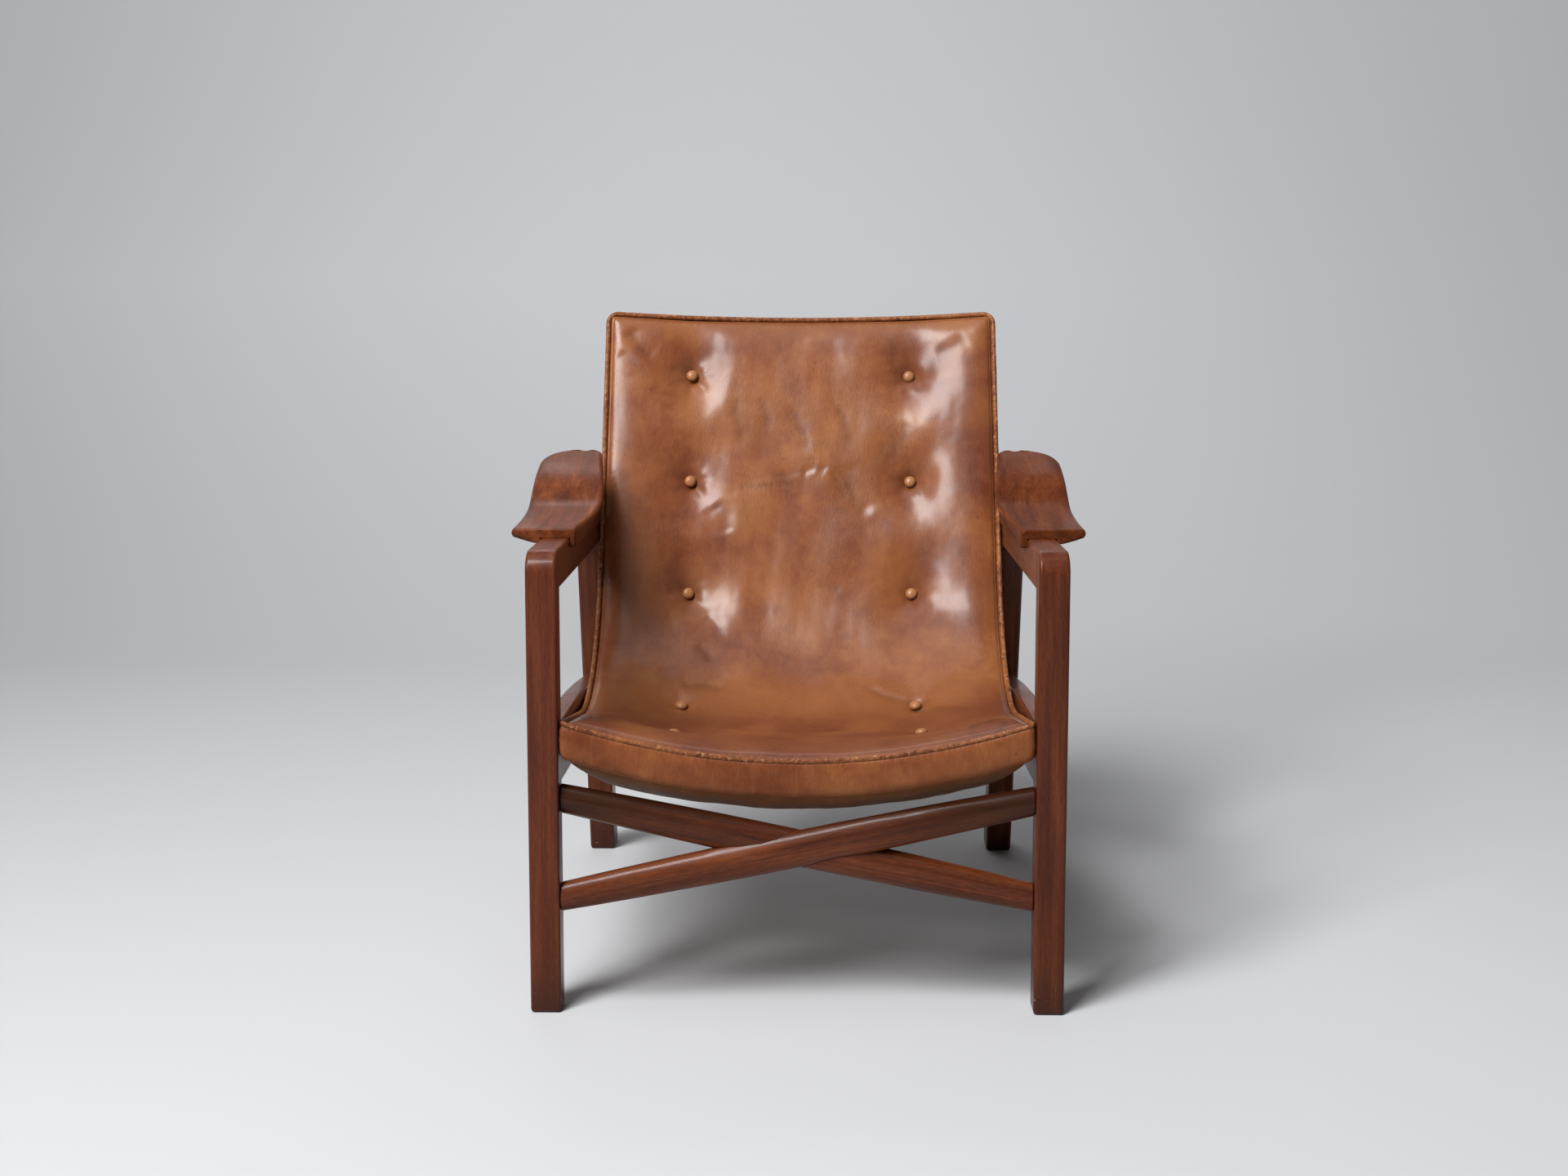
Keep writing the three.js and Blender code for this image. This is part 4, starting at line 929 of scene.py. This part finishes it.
def leather_material(
    name, ochre=0.0, pale=0.0, dull=0.0, scuffs=0.0, rough=0.32, grain=1.0, wax=0.47, drawn=False
):
    """Worn, waxed hide. Ochre, pale and dull mix in those colours, scuffs wear it in places,
    and drawn reads the cover's painted shade and own darker tone, its ochre, and its stains
    with painted shade along the folds."""
    g = Graph(name)
    at = g.coords()
    clouds = g.noise(at, 7.5, 3, 0.55, 0.4)
    patches = g.noise(g.map(at, move=(3.1, 1.7, 0.4)), 19, 4, 0.6, 0.5)
    mottle = g.noise(g.map(at, move=(0.3, 5.7, 2.4)), 70, 4, 0.6)
    body = g.total((clouds, 0.50), (patches, 0.33), (mottle, 0.17))
    colour = g.colours(body, [(0.36, HIDE_DEEP), (0.49, HIDE_MIDDLE), (0.63, HIDE_OCHRE)])
    for share, tint in ((ochre, HIDE_OCHRE), (pale, HIDE_PALE), (dull, HIDE_DULL)):
        if share:
            colour = g.mix(share, colour, tint)
    streaky = g.noise(g.map(at, scale=(1, 0.5, 0.16)), 95, 4, 0.65, 0.8)
    colour = g.mix(g.ramp(streaky, 0.52, 0.72, 0, 0.10), colour, HIDE_PALE)
    freckles = g.ramp(g.noise(at, 420, 2, 0.5), 0.66, 0.74)
    colour = g.mix(g.times(freckles, 0.25), colour, HIDE_DEEP)
    spots = g.ramp(g.cells(g.map(at, move=(0.9, 0.2, 0.6)), 34), 0.05, 0.085, 1, 0)
    colour = g.mix(g.times(spots, 0.35), colour, HIDE_STAIN_AND_FOLD_SHADE)
    if drawn:
        # Painted shade at the edges, in the tufts and over the seat, and darker patches of the
        # hide's own tone
        colour = g.mix(g.attribute("painted_shade_and_tone"), colour, HIDE_PAINTED_SHADE_AND_TONE)
        colour = g.mix(g.attribute("ochre"), colour, HIDE_OCHRE)
        # Real stains, and painted shade along the bottoms of the folds
        broken = g.ramp(g.noise(at, 120, 3, 0.6), 0.35, 0.6, 0.5, 1.0)
        colour = g.mix(g.times(g.attribute("stain_and_fold_shade"), broken), colour, HIDE_STAIN_AND_FOLD_SHADE)
    if scuffs:
        worn = g.ramp(g.noise(g.map(at, scale=(1, 1, 0.7)), 260, 5, 0.7, 0.6), 0.52, 0.62)
        colour = g.mix(g.times(worn, scuffs), colour, HIDE_PALE)
        grime = g.ramp(g.noise(g.map(at, move=(7, 3, 1)), 150, 4, 0.65), 0.50, 0.64)
        colour = g.mix(g.times(grime, 0.8 * scuffs), colour, HIDE_STAIN_AND_FOLD_SHADE)
    wrinkled = g.cells(g.bent(g.map(at, scale=(1, 0.6, 0.30)), 60, 0.012), 210, "DISTANCE_TO_EDGE")
    smooth_places = g.ramp(g.noise(g.map(at, move=(2.2, 0.7, 5.1)), 13, 3, 0.6), 0.38, 0.62)
    inked = g.times(g.ramp(wrinkled, 0.0, 0.10, 0.16, 0), g.math("SUBTRACT", 1.0, smooth_places))
    colour = g.mix(inked, colour, HIDE_STAIN_AND_FOLD_SHADE)
    buffed = g.noise(g.map(at, move=(4, 4, 9)), 14, 4, 0.6)
    sheen = g.ramp(buffed, 0.3, 0.7, rough - 0.07, rough + 0.08)
    roughness = g.math("ADD", sheen, g.ramp(mottle, 0.3, 0.7, -0.03, 0.04))
    pebbles = g.ramp(g.cells(at, 950, "DISTANCE_TO_EDGE"), 0.0, 0.22)
    creases = g.noise(g.map(at, scale=(1, 0.55, 0.3)), 260, 4, 0.62, 1.2)
    lines = g.math("MAXIMUM", g.ramp(wrinkled, 0.0, 0.16), smooth_places)
    fibres = g.noise(g.map(at, scale=(1, 0.45, 0.20)), 520, 3, 0.6, 0.6)
    normal = g.bump(pebbles, 0.30 * grain, 0.00022)
    normal = g.bump(g.noise(at, 1500, 2, 0.6), 0.20 * grain, 0.0001, normal)
    normal = g.bump(creases, 0.26 * grain, 0.0005, normal)
    normal = g.bump(lines, 0.34 * grain, 0.00035, normal)
    normal = g.bump(fibres, 0.28 * grain, 0.0003, normal)
    normal = g.bump(g.noise(at, 60, 3, 0.55, 0.6), 0.12, 0.0010, normal)
    coats = {"Coat_Weight": wax, "Coat_Roughness": 0.23}
    return g.done(colour, roughness, normal, Specular_IOR_Level=0.11, **coats)


# Wood

ARMREST_FRONT_AT = 0.135
ARMREST_LENGTH = 0.290
ARMREST_OUTER = 0.350
ARMREST_INNER = 0.2705
ARMREST_FRONT_TOP = 0.5575
ARMREST_REAR_TOP = 0.621
ARMREST_LIP = 0.012
ARMREST_LIP_THICKNESS = 0.007
ARMREST_EDGE = 0.012
ARMREST_REAR_EDGE = 0.021
ARMREST_REBATE = 0.007
ARMREST_CORNER = 0.044
ARMREST_INNER_CORNER = 0.012
ARMREST_NOSE = 0.005
ARMREST_FLARE = 0.016
ARMREST_FRONT_CORNER = 0.008
RAIL_TOP = 0.550
RAIL_SLOPE = 0.031
FRAME_OUTER = 0.314
FRAME_INNER = 0.278
FIT = 0.0003
# Height and inward flare along the armrest: a share of its length and a share of the whole
RISE = [(0, 0), (0.15, 0.006), (0.29, 0.027), (0.42, 0.075), (0.5, 0.13), (0.55, 0.2), (0.6, 0.325),
        (0.65, 0.485), (0.71, 0.635), (0.785, 0.765), (0.86, 0.866), (0.93, 0.945), (1, 1)]
FLARE = [(0, 0), (0.1, 0.1), (0.25, 0.35), (0.45, 0.75), (0.57, 1), (0.7, 0.76), (0.85, 0.4),
         (1, 0)]
TABLE_EASE = 0.028
ARMREST_FACE = 0.0055
ARMREST_LIP_ROUND = 0.0028
ARMREST_LIP_HOLLOW = 0.0022
ARMREST_SIDE_ROUND = 0.0095
ARMREST_HOLLOW = 0.0016
ARMREST_REAR_ROUND = 0.0032


def smooth_table(table, at):
    """A table of points read with its corners rounded off."""
    reach = np.linspace(-2.5, 2.5, 21) * TABLE_EASE
    weights = np.exp(-0.5 * (reach / TABLE_EASE) ** 2)
    xs, ys = np.array(table, float).T
    first, last = (ys[1] - ys[0]) / (xs[1] - xs[0]), (ys[-1] - ys[-2]) / (xs[-1] - xs[-2])
    places = at + reach
    values = np.interp(places, xs, ys)
    values += np.minimum(places - xs[0], 0) * first + np.maximum(places - xs[-1], 0) * last
    return float((values * weights).sum() / weights.sum())


def arc(cx, cz, radius_x, radius_z, start, end, steps):
    angles = np.radians(np.linspace(start, end, steps + 1))
    return [(cx + radius_x * math.cos(a), cz + radius_z * math.sin(a)) for a in angles]


def armrest_ring(share, shrink, forward):
    """A closed section of the right armrest at a share of its length, shrunk and moved forward."""
    y = ARMREST_FRONT_AT + ARMREST_LENGTH * share + forward
    from_start = ARMREST_LENGTH * share + forward
    to_end = ARMREST_LENGTH - from_start
    rail_top = RAIL_TOP - RAIL_SLOPE * y + FIT
    climb = (ARMREST_REAR_TOP - ARMREST_FRONT_TOP) * smooth_table(RISE, share)
    top = ARMREST_FRONT_TOP + climb - shrink
    outer = ARMREST_OUTER - float(corner_inset(to_end, ARMREST_CORNER)) - shrink
    outer -= float(corner_inset(from_start, ARMREST_FRONT_CORNER))
    lip_outside = ARMREST_INNER + float(corner_inset(to_end, ARMREST_INNER_CORNER)) + shrink
    inner = lip_outside - ARMREST_FLARE * smooth_table(FLARE, share)
    edge = ARMREST_EDGE + (ARMREST_REAR_EDGE - ARMREST_EDGE) * share - 2 * shrink
    lip = rail_top - ARMREST_LIP + shrink
    lip_inside = FRAME_INNER - FIT
    rebate_at = FRAME_OUTER + FIT
    rebate_outer = rebate_at + ARMREST_LIP_THICKNESS
    under = rail_top - ARMREST_REBATE + shrink
    low = max(top - edge, under)
    lip_face = min(lip_outside, lip_inside - ARMREST_LIP_THICKNESS / 2)
    face, turned = ARMREST_FACE, ARMREST_LIP_ROUND
    half = (top - low) / 2
    reach = outer - min(half, ARMREST_SIDE_ROUND)
    section = arc(lip_face + turned, lip + turned, turned, turned, 270, 180, 5)
    roll = inner + (lip_face - inner) * 0.18
    for k in range(1, 6):
        t = k / 6
        rise = (top - 2.1 * face - lip - turned) * t
        section.append((lip_face + (roll - lip_face) * t ** 1.35, lip + turned + rise))
    section += arc(inner + face, top - face, face, face, 180, 90, 8)
    for k in range(1, 12):
        t = k / 12
        hollow = ARMREST_HOLLOW * math.sin(math.pi * t) * float(smoothstep(share, 0.25, 0.8))
        section.append((inner + face + (reach - inner - face) * t, top - hollow))
    section += arc(reach, top - half, outer - reach, half, 90, -90, 12)
    for k in range(1, 8):
        t = k / 8
        section.append((reach + (rebate_outer - reach) * t, low + (under - low) * t ** 0.85))
    section += [(rebate_outer, under), (rebate_at, under), (rebate_at, rail_top)]
    section += [(lip_inside, rail_top), (lip_inside, lip + turned)]
    hollow = ARMREST_LIP_HOLLOW
    section += arc(lip_inside - hollow, lip + hollow, hollow, hollow, 0, -90, 4)
    lean = 0.3 * share * share
    return [(x, y + lean * (z - rail_top) - DEPTH / 2, z) for x, z in section]


def make_armrest(name, sign):
    rings = []
    for k in range(7):
        turn = math.pi / 2 * k / 6
        shrink = ARMREST_NOSE / 2 * (1 - math.sin(turn))
        rings.append(armrest_ring(0, shrink, ARMREST_NOSE * (1 - math.cos(turn))))
    corner = ARMREST_CORNER / ARMREST_LENGTH
    for share in np.linspace(ARMREST_NOSE * 2 / ARMREST_LENGTH, 1 - corner, 42):
        rings.append(armrest_ring(float(share), 0, 0))
    for k in range(1, 23):
        turn = math.pi / 2 * k / 24
        rings.append(armrest_ring(1 - corner * (1 - math.sin(turn)), 0, 0))
    for k in range(1, 6):
        turn = math.pi / 2 * k / 5
        shrink = ARMREST_REAR_ROUND * (1 - math.cos(turn))
        rings.append(armrest_ring(1, shrink, -ARMREST_REAR_ROUND * (1 - math.sin(turn))))
    count = len(rings[0])
    verts = [(sign * x, y, z) for ring in rings for x, y, z in ring]
    faces = tube_faces(len(rings), count)
    last = (len(rings) - 1) * count
    faces.append(tuple(range(count))[::-1])
    faces.append(tuple(last + k for k in range(count)))
    return solid(name, verts, faces)


def smooth_by_angle(obj, degrees):
    form = bmesh.new()
    form.from_mesh(obj.data)
    limit = math.radians(degrees)
    for face in form.faces:
        face.smooth = True
    for edge in form.edges:
        edge.smooth = edge.is_manifold and edge.calc_face_angle(0) < limit
    form.to_mesh(obj.data)
    form.free()
    weighted = obj.modifiers.new("flat faces stay flat", "WEIGHTED_NORMAL")
    weighted.keep_sharp = True
    weighted.weight = 80
    return obj


def dressed_copy(node, name, degrees=38):
    """A copy of a CAD piece with its flat faces made whole and its rounded arrises smooth."""
    mesh = nodes[node].data.copy()
    mesh.materials.clear()
    form = bmesh.new()
    form.from_mesh(mesh)
    bmesh.ops.remove_doubles(form, verts=form.verts, dist=2e-6)
    flat = math.radians(0.6)
    bmesh.ops.dissolve_limit(form, angle_limit=flat, verts=form.verts, edges=form.edges)
    form.to_mesh(mesh)
    form.free()
    return smooth_by_angle(add_object(name, mesh), degrees)


# The chair

def place(obj, material, slot, *replaced):
    obj.data.materials.clear()
    obj.data.materials.append(material)
    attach(obj, "root")
    if replaced:
        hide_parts(*replaced)
    return obj


SIDES = (("left", -1), ("right", 1))


def make_frame():
    for i, (side, sign) in enumerate(SIDES):
        # The name, the direction of the grain, the tone and the red
        pieces = (
            ("front_leg", (0, 0, 1), 0.97 - 0.12 * i, 0.25),
            ("arm_rail", (0, 1, -0.031), 1.05, 0.0),
            ("rear_leg", (0, -0.281, 1), 0.96, 0.1),
            ("seat_rail", (0, 1, -0.06), 1.0, 0.0),
        )
        for k, (piece, grain, tone, red) in enumerate(pieces):
            node = f"{piece}_{side}"
            wood = wood_material(f"wood_{node}", grain, tone, red, seed=3 + 5 * i + k)
            place(dressed_copy(node, f"{node}_polished"), wood, "mahogany", node)
        node = f"armrest_{side}"
        dull = {"gloss": 0.07 - 0.05 * i, "coat": 0.05}
        wood = wood_material(f"wood_{node}", (0, 1, 0.12), 1.08, seed=31 + i, **dull)
        armrest = smooth_by_angle(make_armrest(f"{node}_carved", sign), 42)
        place(armrest, wood, "mahogany", node)
    for end, grain, seed in (("front", (1, 0, 0.2), 51), ("back", (1, 0, -0.2), 57)):
        node = f"stretcher_{end}"
        # The stretchers get painted shade above this height, standing in for the seat's shadow
        wood = wood_material(f"wood_{node}", grain, 1.06, seed=seed, gloss=0.11, painted_shade_from=0.200)
        place(dressed_copy(node, f"{node}_polished", 50), wood, "mahogany", node)


def make_shell():
    hide = leather_material("cover_leather", drawn=True)
    band_hide = leather_material("band_leather", ochre=0.05, rough=0.46, grain=0.9, wax=0.1)
    rear_hide = leather_material("rear_leather", dull=0.65, rough=0.5, grain=0.9, wax=0.05)
    piping_hide = leather_material("piping_leather", ochre=0.15, scuffs=0.8, rough=0.42, wax=0.15)
    button_hide = leather_material("button_leather", ochre=0.6, pale=0.45, rough=0.33, grain=0.6)
    cover = place(make_cover(), hide, "leather", "front_cover")
    paint_cover(cover)
    place(make_band(), band_hide, "leather", "border")
    place(make_piping(), piping_hide, "leather_trim", "piping")
    place(make_rear_cover(), rear_hide, "leather", "rear_cover")
    place(make_stitches(), thread_material("thread"), "leather_trim")
    for i, row in enumerate(BUTTON_ROWS):
        for side, sign in SIDES:
            node = f"button_{side}_{i + 1}"
            seed = 2 * i + (sign > 0)
            button = make_button(f"{node}_covered", sign * BUTTON_SPREAD / 2, row, seed)
            place(button, button_hide, "leather_trim", node)


# The dark ring stain near the front of the seat: across and along
RING_AT = (0.223, 0.038)
RING_SIZE = (0.0180, 0.030)


def paint_cover(cover):
    """Stores the cover's painted shade with darker tone, its ochre, and its stains with painted
    fold shade, each from 0 to 1, for its material to read.
    """
    x, s = cover_grid(COVER_INSET - COVER_LAP, COVER_PITCH)
    inside = from_edge(x, s)
    # Painted shade: darker towards the edges and in the tufts round the buttons
    painted_shade_and_tone = 0.35 * np.exp(-inside / 0.016)
    for row in BUTTON_ROWS:
        for sign in (-1, 1):
            away = np.hypot(x - sign * BUTTON_SPREAD / 2, s - row)
            painted_shade_and_tone = np.maximum(painted_shade_and_tone, 0.55 * bell(away, 0.026))
    # Darker patches at random: the hide's own tone
    painted_shade_and_tone = np.maximum(painted_shade_and_tone, 0.25 * np.clip(Waves(61, 0.16, 0.2)(x, s), 0, 1))
    # Painted shade: the seat darker than the back
    painted_shade_and_tone = np.maximum(painted_shade_and_tone, 0.62 * (1 - smoothstep(s, 0.24, 0.36)))
    ochre = 0.55 * bell(s - 0.30, 0.05) * smoothstep(HALF - np.abs(x), 0.0, 0.08)
    ochre = np.maximum(ochre, 0.4 * smoothstep(s, LENGTH - 0.05, LENGTH - 0.01))
    ochre = np.maximum(ochre, 0.5 * np.clip(Waves(62, 0.13, 0.22)(x, s), 0, 1))
    across, along = (x - RING_AT[0]) / RING_SIZE[0], (s - RING_AT[1]) / RING_SIZE[1]
    turn = np.arctan2(along, across)
    off = np.hypot(across, along) - 1 - 0.12 * np.cos(3 * turn + 1) - 0.08 * np.cos(5 * turn)
    stain_and_fold_shade = 1.3 * bell(off, 0.30) * (0.6 + 0.4 * np.cos(turn - 1.2))
    stain_and_fold_shade = np.maximum(stain_and_fold_shade, 1.2 * bell(across - 0.75, 0.5) * bell(along - 1.2, 0.45))
    stain_and_fold_shade = np.maximum(stain_and_fold_shade, 0.18 * (1 - smoothstep(off, -0.3, 0.1)))
    # Painted shade along the bottoms of the folds
    for points, width, _, _ in FOLDS:
        stain_and_fold_shade = np.maximum(stain_and_fold_shade, -stroke(x, s, points, 0.7 * width, 0.3))
    for name, field in (("painted_shade_and_tone", painted_shade_and_tone), ("ochre", ochre), ("stain_and_fold_shade", stain_and_fold_shade)):
        values = np.zeros(len(cover.data.vertices), np.float32)
        values[:x.size] = np.clip(field, 0, 1).reshape(-1)
        cover.data.attributes.new(name, "FLOAT", "POINT").data.foreach_set("value", values)


def dress_hidden_pieces():
    inner = plain_wood_material("inner_wood")
    brass = brass_material("screw_brass")
    for name, node in nodes.items():
        hidden_wood = name.startswith(("stile", "support")) or name.endswith("crossrail")
        if hidden_wood or "screw" in name:
            node.data.materials.clear()
            node.data.materials.append(inner if hidden_wood else brass)


make_camera()
make_stage()
make_light()
make_frame()
make_shell()
dress_hidden_pieces()

scene.view_settings.view_transform = "Standard"
bpy.context.view_layer.update()
